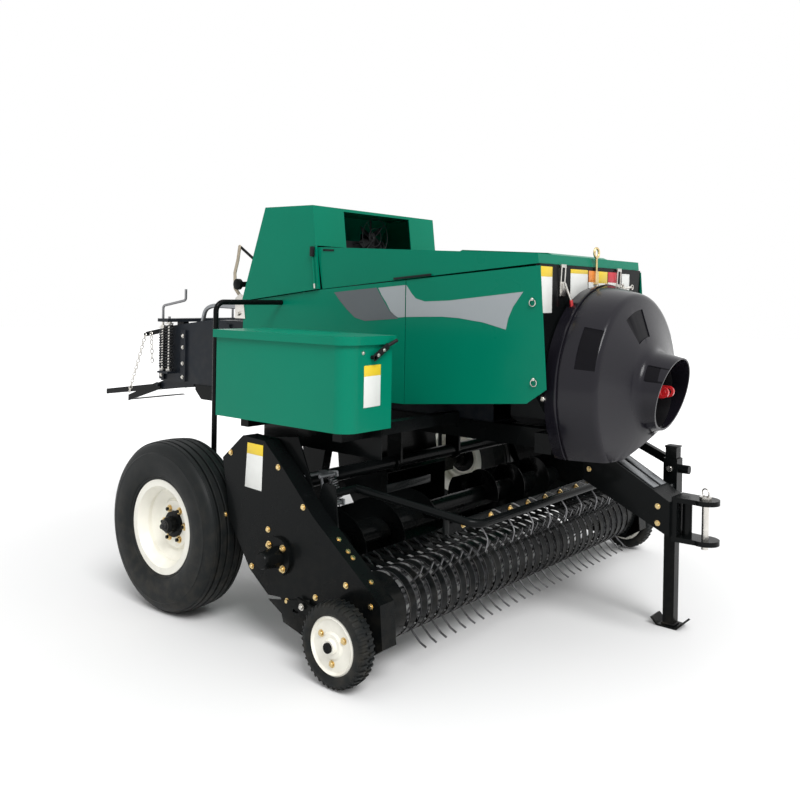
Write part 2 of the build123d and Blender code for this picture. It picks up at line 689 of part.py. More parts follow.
def side_panel():
    """The right side in two sheets, a fixed rear one and a front one with a chamfered foot."""
    rear = side_prism([
        (PANEL_REAR_X, PANEL_FOOT_REAR_Z), (PANEL_SEAM_X - 2, PANEL_FOOT_REAR_Z + 11),
        (PANEL_SEAM_X - 2, seam_z(PANEL_SEAM_X - 2)), (SEAM_CORNER_X, SEAM_CORNER_Z),
        (PANEL_REAR_X, PANEL_REAR_TOP_Z),
    ], -PANEL_Y, -PANEL_Y + SHEET)
    front = side_prism([
        (PANEL_SEAM_X + 2, PANEL_FOOT_REAR_Z + 11), PANEL_FRONT_FOOT, PANEL_FRONT_LOW, PANEL_FRONT_TOP,
        (PANEL_SEAM_X + 2, seam_z(PANEL_SEAM_X + 2)),
    ], -PANEL_Y, -PANEL_Y + SHEET)
    return joined([rear, front])


def front_hood():
    """The front hood: a sloping top with skirts, a front lip and a raised middle."""
    low = 4.0
    outline = [
        HOOD_REAR_TOP, HOOD_FRONT_TOP, (HOOD_FRONT_TOP[0] + 4, HOOD_FRONT_LIP_Z),
        (SEAM_CORNER_X + HOOD_GAP, SEAM_CORNER_Z + low),
    ]
    hood = side_prism(outline, -HOOD_HALF, HOOD_HALF)
    inside = [
        (HOOD_REAR_TOP[0] - 20, HOOD_REAR_TOP[1] - SHEET + 0.9), (HOOD_FRONT_TOP[0] - SHEET, HOOD_FRONT_TOP[1] - SHEET),
        (HOOD_FRONT_TOP[0] - SHEET + 3, HOOD_FRONT_LIP_Z - 60), (SEAM_CORNER_X - 80, SEAM_CORNER_Z - 80),
    ]
    hood -= side_prism(inside, -HOOD_HALF + SHEET, HOOD_HALF - SHEET)
    slope = (HOOD_FRONT_TOP[1] - HOOD_REAR_TOP[1]) / (HOOD_FRONT_TOP[0] - HOOD_REAR_TOP[0])
    rear_x, front_x = 930.0, 1440.0
    rear_z = HOOD_REAR_TOP[1] + slope * (rear_x - HOOD_REAR_TOP[0])
    front_z = HOOD_REAR_TOP[1] + slope * (front_x - HOOD_REAR_TOP[0])
    pad = side_prism([(rear_x, rear_z), (rear_x + 30, rear_z + 12), (front_x - 30, front_z + 12), (front_x, front_z)],
                     -260, 260)
    return hood + pad


def knotter_hood():
    """The tall rear hood: sides, top, a leaning front with the fan's window, open behind the base."""
    outline = [
        KNOTTER_TOP_FRONT, KNOTTER_TOP_REAR, KNOTTER_BASE_REAR,
        (SEAM_CORNER_X - 3, SEAM_CORNER_Z + 4),
    ]
    hood = side_prism(outline, -KNOTTER_HALF, KNOTTER_HALF)
    t = SHEET
    inside = [
        (KNOTTER_TOP_FRONT[0] - t, KNOTTER_TOP_FRONT[1] - t), (KNOTTER_TOP_REAR[0] + t, KNOTTER_TOP_REAR[1] - t),
        (KNOTTER_BASE_REAR[0] + t - 40, KNOTTER_BASE_REAR[1] - 110), (SEAM_CORNER_X - 3 - t + 26, SEAM_CORNER_Z - 200),
    ]
    hood -= side_prism(inside, -KNOTTER_HALF + t, KNOTTER_HALF - t)
    hood -= block(100, 300, -WINDOW_HALF, WINDOW_HALF, WINDOW_LOW_Z, WINDOW_HIGH_Z)
    hood -= block(60, 400, -HOOD_HALF - 3, HOOD_HALF + 3, SEAM_CORNER_Z - 60, HOOD_REAR_TOP[1] + 7)
    return hood


def lifting_eye():
    """The lifting eye on its foot, in front of the hood's lip."""
    foot = block(BULKHEAD_FACE_X, BULKHEAD_FACE_X + 12, -15, 15, EYE_Z - 140, EYE_Z - 82)
    x = BULKHEAD_FACE_X + 7
    neck = rod((x, 0, EYE_Z - 90), (x, 0, EYE_Z - 20), 5.5)
    ring = Pos(x, 0, EYE_Z) * Rot(0, 90, 0) * Torus(21, 5.5)
    return foot + neck + ring


def front_bulkhead():
    """The black plate across the front that carries the flywheel's cover and the hood."""
    half = PANEL_Y - SHEET
    z0 = CHAMBER_FLOOR_Z - CHAMBER_WALL
    plate = front_prism([
        (-half, 1060), (-CROSS_BEAM_HALF + 60, z0), (CROSS_BEAM_HALF - 60, z0), (half, 1060),
        (half, BULKHEAD_TOP_Z), (-half, BULKHEAD_TOP_Z),
    ], BULKHEAD_X, BULKHEAD_X + BULKHEAD_THICKNESS)
    plate -= Pos(BULKHEAD_X, 0, COVER_Z) * Rot(0, 90, 0) * Cylinder(SHAFT_RADIUS + 12, 100)
    return plate + lifting_eye()


def rear_bulkhead():
    """The plate across the rear of the body, open round the bale chamber."""
    half = PANEL_Y - SHEET
    plate = block(PANEL_REAR_X, PANEL_REAR_X + 8, -half, half, PANEL_FOOT_REAR_Z, REAR_BULKHEAD_TOP_Z)
    outer = CHAMBER_HALF_INSIDE + CHAMBER_WALL
    return plate - block(PANEL_REAR_X - 1, PANEL_REAR_X + 9, -outer, outer, PANEL_FOOT_REAR_Z - 1, CHAMBER_TOP_Z)


def flywheel_cover():
    """The moulded cover round the flywheel: a drum that runs in to a round mouth."""
    rear_x = BULKHEAD_X + BULKHEAD_THICKNESS
    w = COVER_WALL
    outline = [
        (rear_x, COVER_REAR_RADIUS - w), (rear_x, COVER_REAR_RADIUS),
        (COVER_RING_X, COVER_RING_RADIUS), (COVER_RING_X + 8, COVER_RING_RADIUS - 10),
        (COVER_DRUM_X - 10, COVER_DRUM_RADIUS + 2), (COVER_DRUM_X, COVER_DRUM_RADIUS - 10),
        (COVER_THROAT_X, COVER_THROAT_RADIUS), (COVER_MOUTH_X, COVER_MOUTH_RADIUS),
        (COVER_MOUTH_X, COVER_MOUTH_RADIUS - w), (COVER_THROAT_X - 6, COVER_THROAT_RADIUS - w),
        (COVER_DRUM_X - 8, COVER_DRUM_RADIUS - 10 - w), (COVER_DRUM_X - 18, COVER_DRUM_RADIUS + 2 - w),
        (COVER_RING_X, COVER_RING_RADIUS - 10 - w),
    ]
    cover = shaft_revolve(outline, COVER_Z)
    low, rise = COVER_CUT_Z, COVER_CUT_RISE
    cover -= front_prism([(-210, low - 4), (500, low + 710 * rise), (500, 300), (-210, 300)],
                         rear_x - 1, COVER_DRUM_X + 60)
    slot = TONGUE_WIDTH / 2 + HOOD_GAP
    return cover - block(rear_x - 1, COVER_DRUM_X, -slot, slot, 300, TONGUE_REAR_TOP_Z + HOOD_GAP)


def flywheel():
    """Flywheel, input shaft and the forked yoke that the drive line is pinned to."""
    shaft_rear = 1300.0
    disc_x0, disc_x1 = FLYWHEEL_X - FLYWHEEL_THICKNESS / 2, FLYWHEEL_X + FLYWHEEL_THICKNESS / 2
    wheel = shaft_revolve([
        (shaft_rear, 0), (shaft_rear, SHAFT_RADIUS), (disc_x0 - 10, SHAFT_RADIUS), (disc_x0 - 10, 60),
        (disc_x0 + 12, 60), (disc_x0 + 12, FLYWHEEL_RADIUS - 70), (disc_x0, FLYWHEEL_RADIUS - 60),
        (disc_x0, FLYWHEEL_RADIUS), (disc_x1, FLYWHEEL_RADIUS), (disc_x1, FLYWHEEL_RADIUS - 60),
        (disc_x1 - 12, FLYWHEEL_RADIUS - 70), (disc_x1 - 12, 70), (disc_x1 + 16, 60), (disc_x1 + 16, 36),
        (YOKE_X - 40, 36), (YOKE_X - 40, 0),
    ], COVER_Z)
    return wheel


def drive_yoke():
    """The red forked yoke on the end of the input shaft."""
    base = Pos(YOKE_X - 30, 0, COVER_Z) * Rot(0, 90, 0) * Cylinder(YOKE_RADIUS + 6, 20)
    ears = base
    for side in (-1, 1):
        y0, y1 = sorted((side * (YOKE_RADIUS - YOKE_EAR), side * YOKE_RADIUS))
        ear = block(YOKE_X - 20, YOKE_X + YOKE_LENGTH - 28, y0, y1, COVER_Z - 24, COVER_Z + 24)
        ear += rod((YOKE_X + YOKE_LENGTH - 28, y0, COVER_Z), (YOKE_X + YOKE_LENGTH - 28, y1, COVER_Z), 24)
        ears += ear
    bore_x = YOKE_X + YOKE_LENGTH - 28
    return ears - rod((bore_x, -YOKE_RADIUS - 1, COVER_Z), (bore_x, YOKE_RADIUS + 1, COVER_Z), YOKE_BORE_RADIUS)


def gearbox():
    """The main gearbox as one cast block with the bearing boss of the input shaft."""
    z0 = CHAMBER_FLOOR_Z - CHAMBER_WALL
    case = block(1180, 1400, -170, 170, z0, 1240)
    case = chamfer(case.edges().filter_by(Axis.X), 30)
    case += Pos(1430, 0, COVER_Z) * Rot(0, 90, 0) * Cylinder(70, 60)
    bore = Pos(1440, 0, COVER_Z) * Rot(0, 90, 0) * Cylinder(SHAFT_RADIUS + RUNNING_GAP, 300)
    return case - bore


FEED_OUTLINE = [
    (512, 300), (512, 560), (455, 600), (430, 794), (150, 794), (180, 520), (320, 330),
]


def feed_housing():
    """The feed duct from the pickup's trough up to the bale chamber, open at the front."""
    half = FEED_HALF + 10
    housing = side_prism(FEED_OUTLINE, -half, half)
    inner = offset(side_face(FEED_OUTLINE), amount=-SHEET)
    reach = Pos(0, -half + SHEET, 0) * extrude(inner, amount=2 * (half - SHEET), dir=(0, 1, 0))
    return housing - reach - block(480, 530, -half + SHEET, half - SHEET, 306, 556)


# Knotters

def knotter_stack():
    """The knotters on their table: side plates, cross shaft, and two sets of discs."""
    z0 = CHAMBER_TOP_Z
    parts = block(-190, 180, -230, 230, z0, z0 + 14)
    for y in (-222.0, 210.0):
        parts += side_prism([(-170, z0 + 14), (150, z0 + 14), (110, z0 + 320), (60, z0 + 470),
                             (0, z0 + 470), (-90, z0 + 320)], y, y + 12)
    parts += rod((-10, -210, z0 + 210), (-10, 210, z0 + 210), 18)
    for y in (-90.0, 90.0):
        parts += rod((-10, y - 22, z0 + 210), (-10, y - 12, z0 + 210), 120)
        parts += rod((-10, y + 8, z0 + 210), (-10, y + 22, z0 + 210), 95)
        parts += block(-60, 60, y - 10, y + 6, z0 + 14, z0 + 180)
    parts += block(20, 60, -210, 210, z0 + 420, z0 + 460)
    return parts


FAN_X = 100.0
FAN_Y = 66.0
FAN_Z = 1762.0
FAN_RADIUS = 92.0


def fan_mount():
    """The arm and pin that hold the cleaning fan in front of the knotters."""
    z0 = CHAMBER_TOP_Z + 460
    arm = block(40, 52, FAN_Y - 18, FAN_Y + 18, z0, FAN_Z + 20)
    return arm + rod((52, FAN_Y, FAN_Z), (FAN_X + 22, FAN_Y, FAN_Z), 8)


def knotter_fan():
    """A six-bladed fan on its own hub."""
    hub = Pos(FAN_X, FAN_Y, FAN_Z) * Rot(0, 90, 0) * Cylinder(26, 30)
    for turn in range(6):
        blade = Pos(0, 0, 57) * Rot(0, 0, 32) * Box(3, 44, 72)
        hub += Pos(FAN_X, FAN_Y, FAN_Z) * Rot(turn * 60, 0, 0) * blade
    return hub - rod((0, FAN_Y, FAN_Z), (300, FAN_Y, FAN_Z), 8 + RUNNING_GAP)


# Twine boxes

def twine_box():
    """The right-hand twine box: an open sheet box with one rounded front corner."""
    def body(grow):
        shape = block(BOX_REAR_X - grow, BOX_FRONT_X + grow, -BOX_OUTER_Y - grow, -BOX_INNER_Y + grow,
                      BOX_BOTTOM_Z, BOX_RIM_Z)
        corner = shape.edges().filter_by(Axis.Z).sort_by(lambda e: e.center().X - e.center().Y)[-1]
        return fillet(corner, BOX_CORNER + grow)
    box = body(0)
    return box - Pos(0, 0, SHEET) * body(-SHEET)


def box_lid():
    """The lid: its turned-down rim stands out past the box all round and turns on a hinge barrel inboard."""
    grow = LID_OVERHANG
    z0 = BOX_TOP_Z

    def slab(g, low, high):
        shape = block(BOX_REAR_X - g, BOX_FRONT_X + g, -BOX_OUTER_Y - g, -BOX_INNER_Y + g, low, high)
        corner = shape.edges().filter_by(Axis.Z).sort_by(lambda e: e.center().X - e.center().Y)[-1]
        return fillet(corner, BOX_CORNER + g)
    lid = slab(grow, z0, z0 + LID_HEIGHT)
    lid -= slab(grow - SHEET, z0 - 1, z0 + LID_HEIGHT - SHEET)
    y = -BOX_INNER_Y + grow - SHEET / 2
    return lid + rod((BOX_REAR_X + LID_BARREL_INSET, y, z0), (BOX_FRONT_X - LID_BARREL_INSET, y, z0), LID_BARREL_RADIUS)


def hoop_tube():
    """The bent handrail from the body's side down to the axle beam."""
    return bent_tube([(-20, -PANEL_Y - SEAT_GAP, 1398), (-20, -900, 1398), (-20, -900, WHEEL_RADIUS + AXLE_BEAM_SIZE / 2)],
                     13, 45)


# Pickup

SHIELD_OUTLINE = [
    (345, 736), (474, 845), (609, 838), (729, 737), (894, 579), (1249, 314), (1264, 153), (1180, 96),
    (853, 100), (718, 221), (646, 214), (532, 294), (400, 473),
]


def shield():
    """The right end shield: a shallow pan, open towards the middle."""
    pan = side_prism(SHIELD_OUTLINE, -SHIELD_OUTER_Y, -PICKUP_HALF)
    inner = offset(side_face(SHIELD_OUTLINE), amount=-SHIELD_SHEET)
    hollow = Pos(0, -SHIELD_OUTER_Y + SHIELD_SHEET, 0) * extrude(inner, amount=200, dir=(0, 1, 0))
    return pan - hollow


def shield_bearing():
    """The bearing flange of the auger's shaft on the shield, with its drive stub."""
    y = -SHIELD_OUTER_Y
    return rod((AUGER_X, y, AUGER_Z), (AUGER_X, y - 16, AUGER_Z), 78) + rod((AUGER_X, y - 16, AUGER_Z),
                                                                          (AUGER_X, y - 92, AUGER_Z), 31)


def pickup_frame():
    """Pivot tube, cross tubes and the side plates inside the shields."""
    pivot = rod((PIVOT_X, -PICKUP_HALF, PIVOT_Z), (PIVOT_X, PICKUP_HALF, PIVOT_Z), PIVOT_TUBE_RADIUS)
    plate_outline = [
        (420, 560), (470, 700), (640, 700), (760, 600), (1120, 400), (1250, 260), (1180, 110), (860, 110),
        (700, 228), (540, 330),
    ]
    frame = pivot
    for side in (-1, 1):
        y0, y1 = sorted((side * (PICKUP_HALF - 8), side * PICKUP_HALF))
        frame += side_prism(plate_outline, y0, y1)
        collar = side * (RAIL_OUTER_Y + SEAT_GAP)
        frame += rod((PIVOT_X, collar, PIVOT_Z), (PIVOT_X, collar + side * 14, PIVOT_Z), PIVOT_TUBE_RADIUS + 10)
    for side in (-1, 1):
        frame -= rod((REEL_X, side * (PICKUP_HALF - 20), REEL_Z), (REEL_X, side * (PICKUP_HALF + 20), REEL_Z),
                     REEL_SHAFT_RADIUS + RUNNING_GAP)
        frame -= rod((AUGER_X, side * (PICKUP_HALF - 20), AUGER_Z), (AUGER_X, side * (PICKUP_HALF + 20), AUGER_Z),
                     24 + RUNNING_GAP)
    return frame


def trough():
    """The floor behind the reel and the curved trough round the auger, open to the feed in the middle."""
    outer = AUGER_RADIUS + TROUGH_GAP + TROUGH_SHEET
    inner = AUGER_RADIUS + TROUGH_GAP
    width = 2 * (PICKUP_HALF - 8) - 2 * SEAT_GAP
    face = Plane.XZ * (Circle(outer) - Circle(inner))
    ring = Pos(AUGER_X, 0, AUGER_Z) * extrude(face, amount=width / 2, both=True)
    keep = side_prism([(AUGER_X, AUGER_Z), (AUGER_X + 90, AUGER_Z - 400), (AUGER_X - 400, AUGER_Z - 400),
                       (AUGER_X - 400, AUGER_Z + 90), (AUGER_X - 60, AUGER_Z + 90)], -2000, 2000)
    shell = ring & keep
    mouth = block(AUGER_X - 400, AUGER_X - 60, -FEED_HALF, FEED_HALF, AUGER_Z - 110, AUGER_Z + 200)
    return shell - mouth


def bent_band(width):
    """One bent strip round the front of the reel, with its tail to the carrier."""
    r1, r0 = BAND_RADIUS, BAND_RADIUS - BAND_SHEET
    ring = Pos(REEL_X, 0, REEL_Z) * extrude(Plane.XZ * (Circle(r1) - Circle(r0)), amount=width / 2, both=True)
    front = side_prism([(REEL_X - 30, REEL_Z - 200), (REEL_X + 300, REEL_Z - 200),
                        (REEL_X + 300, REEL_Z + 200), (REEL_X - 60, REEL_Z + 200), (REEL_X - 60, REEL_Z)],
                       -2000, 2000)
    band = ring & front
    top_z = REEL_Z + sqrt(r1 ** 2 - 60 ** 2)
    band += side_prism([(REEL_X - 60, top_z - 3), (REEL_X - 60, top_z), (REEL_X - 200, top_z + 14),
                        (REEL_X - 200, top_z + 11)], -width / 2, width / 2)
    return band


def stripper_bands():
    """The strips between which the tines come out, and a wide one beside each end shield."""
    band = bent_band(BAND_WIDTH)
    count = TINE_COUNT + 1
    first = -TINE_PITCH * (count - 1) / 2
    end = PICKUP_HALF - 8 - SEAT_GAP - END_BAND_WIDTH / 2
    wide = bent_band(END_BAND_WIDTH)
    return [Pos(0, first + k * TINE_PITCH, 0) * band for k in range(count)] + [
        Pos(0, -end, 0) * wide, Pos(0, end, 0) * wide]


def band_carrier():
    """The bands fused to the cross angle that carries their rear ends."""
    top_z = REEL_Z + sqrt(BAND_RADIUS ** 2 - 60 ** 2) + 11
    x = REEL_X - 200
    half = PICKUP_HALF - 8 - SEAT_GAP
    carrier = block(x - 6, x, -half, half, top_z - 60, top_z + 3)
    for band in stripper_bands():
        carrier += band
    return carrier


def tine_outline():
    """One tine of bent wire, seen from the side, pointing up from its bar and swept back at the tip."""
    r0, r1 = TINE_BAR_CIRCLE, REEL_TIP_RADIUS
    t = TINE_WIRE
    lean = 10.0
    return [(-t / 2, r0), (-t / 2, r0 + 70), (-t / 2 - lean * 0.4, r0 + 110), (-t / 2 - lean * 1.6, r1 - 1.5),
            (t / 2 - lean * 1.6, r1 - 0.5), (t / 2 - lean * 0.4, r0 + 110), (t / 2, r0 + 70), (t / 2, r0)]


def tine_reel():
    """The reel: a shaft with spider discs, four bars and four rows of spring tines."""
    half = PICKUP_HALF - 20
    reel = rod((0, -PICKUP_HALF - 30, 0), (0, PICKUP_HALF + 30, 0), REEL_SHAFT_RADIUS)
    for y in (-half + 6, -320.0, 320.0, half - 6):
        reel += rod((0, y - 4, 0), (0, y + 4, 0), TINE_BAR_CIRCLE + 16)
    span = half
    bar = rod((0, -span, TINE_BAR_CIRCLE), (0, span, TINE_BAR_CIRCLE), TINE_BAR_RADIUS)
    row = bar
    first = -TINE_PITCH * (TINE_COUNT - 1) / 2
    tine = side_prism(tine_outline(), -TINE_WIRE / 2, TINE_WIRE / 2)
    for k in range(TINE_COUNT):
        row += Pos(0, first + k * TINE_PITCH, 0) * tine
    for turn in range(TINE_BARS):
        reel += Rot(0, turn * 360.0 / TINE_BARS + 45, 0) * row
    return Pos(REEL_X, 0, REEL_Z) * reel


def auger_flight(hand):
    """One helical flight, right or left handed, that carries the crop from an end to the feed opening."""
    inner = AUGER_TUBE_RADIUS + SEAT_GAP
    mean = (AUGER_RADIUS + inner) / 2
    length = PICKUP_HALF - FEED_HALF - 60
    line = Helix(AUGER_PITCH, length, mean, lefthand=hand < 0)
    start = Plane(origin=line @ 0, x_dir=(1, 0, 0), z_dir=line % 0)
    flight = sweep(start * Rectangle(AUGER_RADIUS - inner, 5), path=line, is_frenet=True)
    turned = Rot(90 * hand, 0, 0) * flight
    return Pos(0, -hand * (FEED_HALF + 20), 0) * turned


def auger():
    """The cross auger: a tube and two flights that crowd the crop to the middle."""
    half = PICKUP_HALF - 8 - 12
    tube = rod((0, -half, 0), (0, half, 0), AUGER_TUBE_RADIUS)
    tube += rod((0, -PICKUP_HALF - 20, 0), (0, PICKUP_HALF + 20, 0), 24)
    return Pos(AUGER_X, 0, AUGER_Z) * joined([tube, auger_flight(1), auger_flight(-1)])


def windguard():
    """The bent bar in front of the reel with its two arms and hold-down fingers."""
    arm_y = PICKUP_HALF - 160.0
    bar_y = PICKUP_HALF - 340.0
    r = WINDGUARD_RADIUS
    bar = bent_tube([(900, -arm_y, 650), (1385, -bar_y, 552), (1385, bar_y, 552), (900, arm_y, 650)], r, 70)
    for side in (-1, 1):
        y0, y1 = sorted((side * (arm_y - 10), side * (PICKUP_HALF - 8)))
        bar += rod((900, y0, 650), (900, y1, 650), 14)
    return bar


def windguard_ears():
    """Plates on the side frames that carry the windguard's arms."""
    ears = []
    for side in (-1, 1):
        y0, y1 = sorted((side * (PICKUP_HALF - 8), side * PICKUP_HALF))
        ears.append(side_prism([(830, 561), (960, 489), (935, 690), (870, 690)], y0, y1))
    return ears


# Bale chute

def chute_rail(y0, y1, end_x, end_z):
    """One angle rail of the chute from the hinge to its end."""
    x0 = CHUTE_HINGE_X
    z0 = CHUTE_HINGE_Z
    return side_prism([(x0 + 16, z0 - 26), (x0 + 16, z0 + 14), (x0 - 20, z0 + 16), (end_x, end_z + 24),
                       (end_x, end_z - 16)], y0, y1)


def bale_chute():
    """The drop chute: a short rail, a long rail and the cross bars between them."""
    y = CHUTE_RAIL_Y
    z_end = CHUTE_SHORT_Z
    short = chute_rail(-y - 6, -y, CHUTE_SHORT_X, CHUTE_SHORT_Z)
    long = chute_rail(y, y + 6, CHUTE_END_X, CHUTE_LONG_Z)
    chute = short + long
    slope = (CHUTE_SHORT_Z - CHUTE_HINGE_Z) / (CHUTE_SHORT_X - CHUTE_HINGE_X)
    for x in (-1540.0, CHUTE_SHORT_X + 12):
        z = CHUTE_HINGE_Z + slope * (x - CHUTE_HINGE_X)
        chute += block(x - 15, x + 15, -y - 1, y + 1, z - 12, z - 6)
    bore = rod((CHUTE_HINGE_X, -y - 20, CHUTE_HINGE_Z), (CHUTE_HINGE_X, y + 20, CHUTE_HINGE_Z), 10 + RUNNING_GAP)
    return chute - bore


def main():
    save("tyre_r", main_tyre())
    save("tyre_l", mirrored(main_tyre()))
    rim = drilled_rim()
    save("wheel_rim_r", rim)
    save("wheel_rim_l", mirrored(rim))
    hub = main_hub()
    save("wheel_hub_r", hub)
    save("wheel_hub_l", mirrored(hub))
    save("main_axle", main_axle())
    save("main_frame", main_frame())
    hangers = [axle_hanger(), pivot_hanger()]
    save("frame_hangers", joined(hangers + [mirrored(hanger) for hanger in hangers]))
    save("tongue", tongue() + jack_bracket() + support_arm())
    save("hitch_clevis", hitch_clevis())
    save("hitch_pin", hitch_pin())
    save("parking_jack", parking_jack())
    save("bale_chamber", bale_chamber())
    save("top_rails", top_rails())
    save("tension_gear", tension_gear())
    panel = side_panel()
    save("side_panel_r", panel)
    save("side_panel_l", mirrored(panel))
    save("front_hood", front_hood())
    save("knotter_hood", knotter_hood())
    save("bulkheads", joined([front_bulkhead(), rear_bulkhead()]))
    save("flywheel_cover", flywheel_cover())
    save("flywheel", flywheel())
    save("drive_yoke", drive_yoke())
    save("gearbox", gearbox())
    save("feed_housing", feed_housing())
    save("knotter_stack", knotter_stack() + fan_mount())
    save("knotter_fan", knotter_fan())
    box = twine_box()
    save("twine_box_r", box)
    save("twine_box_l", mirrored(box))
    lid = box_lid()
    save("box_lid_r", lid)
    save("box_lid_l", mirrored(lid))
    save("hoop_tubes", both_sides(hoop_tube()))
    end_shield = shield()
    save("shield_r", end_shield + shield_bearing())
    save("shield_l", mirrored(end_shield))
    save("pickup_frame", pickup_frame() + windguard_ears())
    save("trough", trough())
    save("stripper_bands", band_carrier())
    save("tine_reel", tine_reel())
    save("auger", auger())
    save("windguard", windguard())
    arm = gauge_arm()
    save("gauge_arms", both_sides(arm))
    save("gauge_tyre_r", gauge_tyre())
    save("gauge_tyre_l", mirrored(gauge_tyre()))
    save("gauge_disc_r", gauge_disc())
    save("gauge_disc_l", mirrored(gauge_disc()))
    save("bale_chute", bale_chute())


main()
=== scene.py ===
"""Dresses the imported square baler: tyres, bolts, springs, signs, trim, paint and the studio round it."""
import json
import math

import bpy
from mathutils import Matrix, Vector


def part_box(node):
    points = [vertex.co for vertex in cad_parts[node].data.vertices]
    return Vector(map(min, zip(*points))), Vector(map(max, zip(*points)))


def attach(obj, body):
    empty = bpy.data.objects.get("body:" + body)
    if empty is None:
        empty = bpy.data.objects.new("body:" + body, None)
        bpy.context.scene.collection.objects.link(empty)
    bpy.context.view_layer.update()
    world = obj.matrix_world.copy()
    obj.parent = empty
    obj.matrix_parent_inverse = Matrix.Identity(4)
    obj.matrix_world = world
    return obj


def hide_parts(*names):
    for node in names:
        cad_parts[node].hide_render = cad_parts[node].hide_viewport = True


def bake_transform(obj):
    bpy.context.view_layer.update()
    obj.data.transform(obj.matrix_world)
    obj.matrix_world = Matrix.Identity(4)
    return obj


bl_info = {
    "name": "Square baler dresser",
    "version": (1, 0, 0),
    "blender": (4, 5, 0),
    "location": "View3D > Sidebar > Baler",
    "description": "Builds the trim, tyres, paint and studio of a square baler round its CAD frame",
    "category": "Object",
}

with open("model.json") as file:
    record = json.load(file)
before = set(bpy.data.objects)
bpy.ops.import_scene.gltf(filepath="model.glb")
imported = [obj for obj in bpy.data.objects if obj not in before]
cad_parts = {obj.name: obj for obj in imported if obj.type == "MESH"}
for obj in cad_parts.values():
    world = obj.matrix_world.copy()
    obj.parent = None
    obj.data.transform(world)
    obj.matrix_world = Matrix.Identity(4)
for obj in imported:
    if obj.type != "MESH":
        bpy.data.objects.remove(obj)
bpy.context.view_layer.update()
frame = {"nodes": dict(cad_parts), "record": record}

AXLE_X = sum(corner.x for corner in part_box("main_axle")) / 2
WHEEL = {"x": 0.0, "y": 1.118, "z": 0.385, "radius": 0.385}
GAUGE = {"x": 1.109, "y": 1.213, "z": 0.160}
GAUGE_LUGS = 40
REEL = {"x": 1.105, "z": 0.238, "radius": 0.130}
AUGER = {"x": 0.707, "z": 0.385, "flange": 0.058}
DRIVE_Z = 1.057
PANEL_FACE = 0.4803
SHIELD_FACE = 1.1402
BULKHEAD_FACE = 1.5003
TONGUE_SIDE = 0.0803
CHAMBER_SIDE = 0.2533
ARM_FACE = 1.1690
BOX_FRONT = 1.0523
MERGE_GAP = 0.00001
SIDES = ((-1, "r"), (1, "l"))
UP = Vector((0, 0, 1))
ALONG_X = Vector((1, 0, 0))
ALONG_Y = Vector((0, 1, 0))


def at(x, y, z):
    """A point given from the main axle, in the frame's own coordinates."""
    return Vector((AXLE_X + x, y, z))


# Settings shown in the sidebar

def colour(label, text, rgb):
    return bpy.props.FloatVectorProperty(name=label, description=text, subtype="COLOR", size=3,
                                         min=0.0, max=1.0, default=rgb)


def length(label, text, value):
    return bpy.props.FloatProperty(name=label, description=text, default=value, min=0.0, unit="LENGTH")


class BalerColours(bpy.types.PropertyGroup):
    """Colours of the paints and metals."""

    green: colour("Green paint", "Hoods, side panels and twine boxes", (0.0, 0.205, 0.122))
    black: colour("Black paint", "Frame, shields and pickup", (0.0040, 0.0048, 0.0050))
    cream: colour("Cream paint", "Wheel rims and gauge wheel discs", (0.90, 0.88, 0.79))
    chamber: colour("Chamber paint", "Bale chamber and top rails", (0.012, 0.015, 0.020))
    cover: colour("Cover plastic", "Flywheel cover", (0.010, 0.0092, 0.0135))
    red: colour("Red paint", "Drive yoke and latch grips", (0.60, 0.02, 0.025))
    zinc: colour("Zinc steel", "Bolts, latches and chains", (0.62, 0.60, 0.56))
    gold: colour("Yellow zinc", "Lifting eye and flange nuts", (0.72, 0.55, 0.27))
    rubber: colour("Rubber", "Main and gauge tyres", (0.0070, 0.0085, 0.0088))
    swoosh: colour("Light stripe", "Long stripe on the side", (0.36, 0.39, 0.41))
    panel: colour("Dark stripe", "Short panel on the side", (0.085, 0.10, 0.11))


class BalerSizes(bpy.types.PropertyGroup):
    """Sizes of the repeated trim."""

    bolt: length("Bolt head", "Radius of a bolt head across its corners", 0.0105)
    groove: length("Tread groove", "Depth of the grooves round the main tyres", 0.010)
    lug: length("Lug height", "Height of the lugs on the gauge tyres", 0.008)
    wire: length("Guard wire", "Radius of the wires beside the stripper bands", 0.0018)
    spring: length("Spring wire", "Radius of the wire of the tension springs", 0.0040)
    sign: length("Sign thickness", "Thickness of a blank sign plate", 0.0008)


def colours():
    return bpy.context.scene.baler_colours


def sizes():
    return bpy.context.scene.baler_sizes


# Modelling steps

def clear_selection():
    active = bpy.context.view_layer.objects.active
    if active and active.mode != "OBJECT":
        bpy.ops.object.mode_set(mode="OBJECT")
    bpy.ops.object.select_all(action="DESELECT")


def choose(objects):
    """Selects these objects and makes the first one active."""
    clear_selection()
    for obj in objects:
        obj.select_set(True)
    bpy.context.view_layer.objects.active = objects[0]
    return objects[0]


def duplicate(obj):
    """A copy with its own mesh, left active."""
    choose([obj])
    bpy.ops.object.duplicate()
    return bpy.context.view_layer.objects.active


def discard(objects):
    choose(objects)
    bpy.ops.object.delete()


def join(objects):
    first = choose(objects)
    if len(objects) > 1:
        bpy.ops.object.join()
    return first


def settle(obj):
    """Puts the object's place, turn and scale into its mesh."""
    choose([obj])
    bpy.ops.object.transform_apply(location=True, rotation=True, scale=True)
    return obj


def bevel(obj, width, segments=2, angle=35):
    """Rounds the sharp edges."""
    choose([obj])
    rounding = obj.modifiers.new("rounding", "BEVEL")
    rounding.width = width
    rounding.segments = segments
    rounding.limit_method = "ANGLE"
    rounding.angle_limit = math.radians(angle)
    bpy.ops.object.modifier_apply(modifier=rounding.name)
    return obj


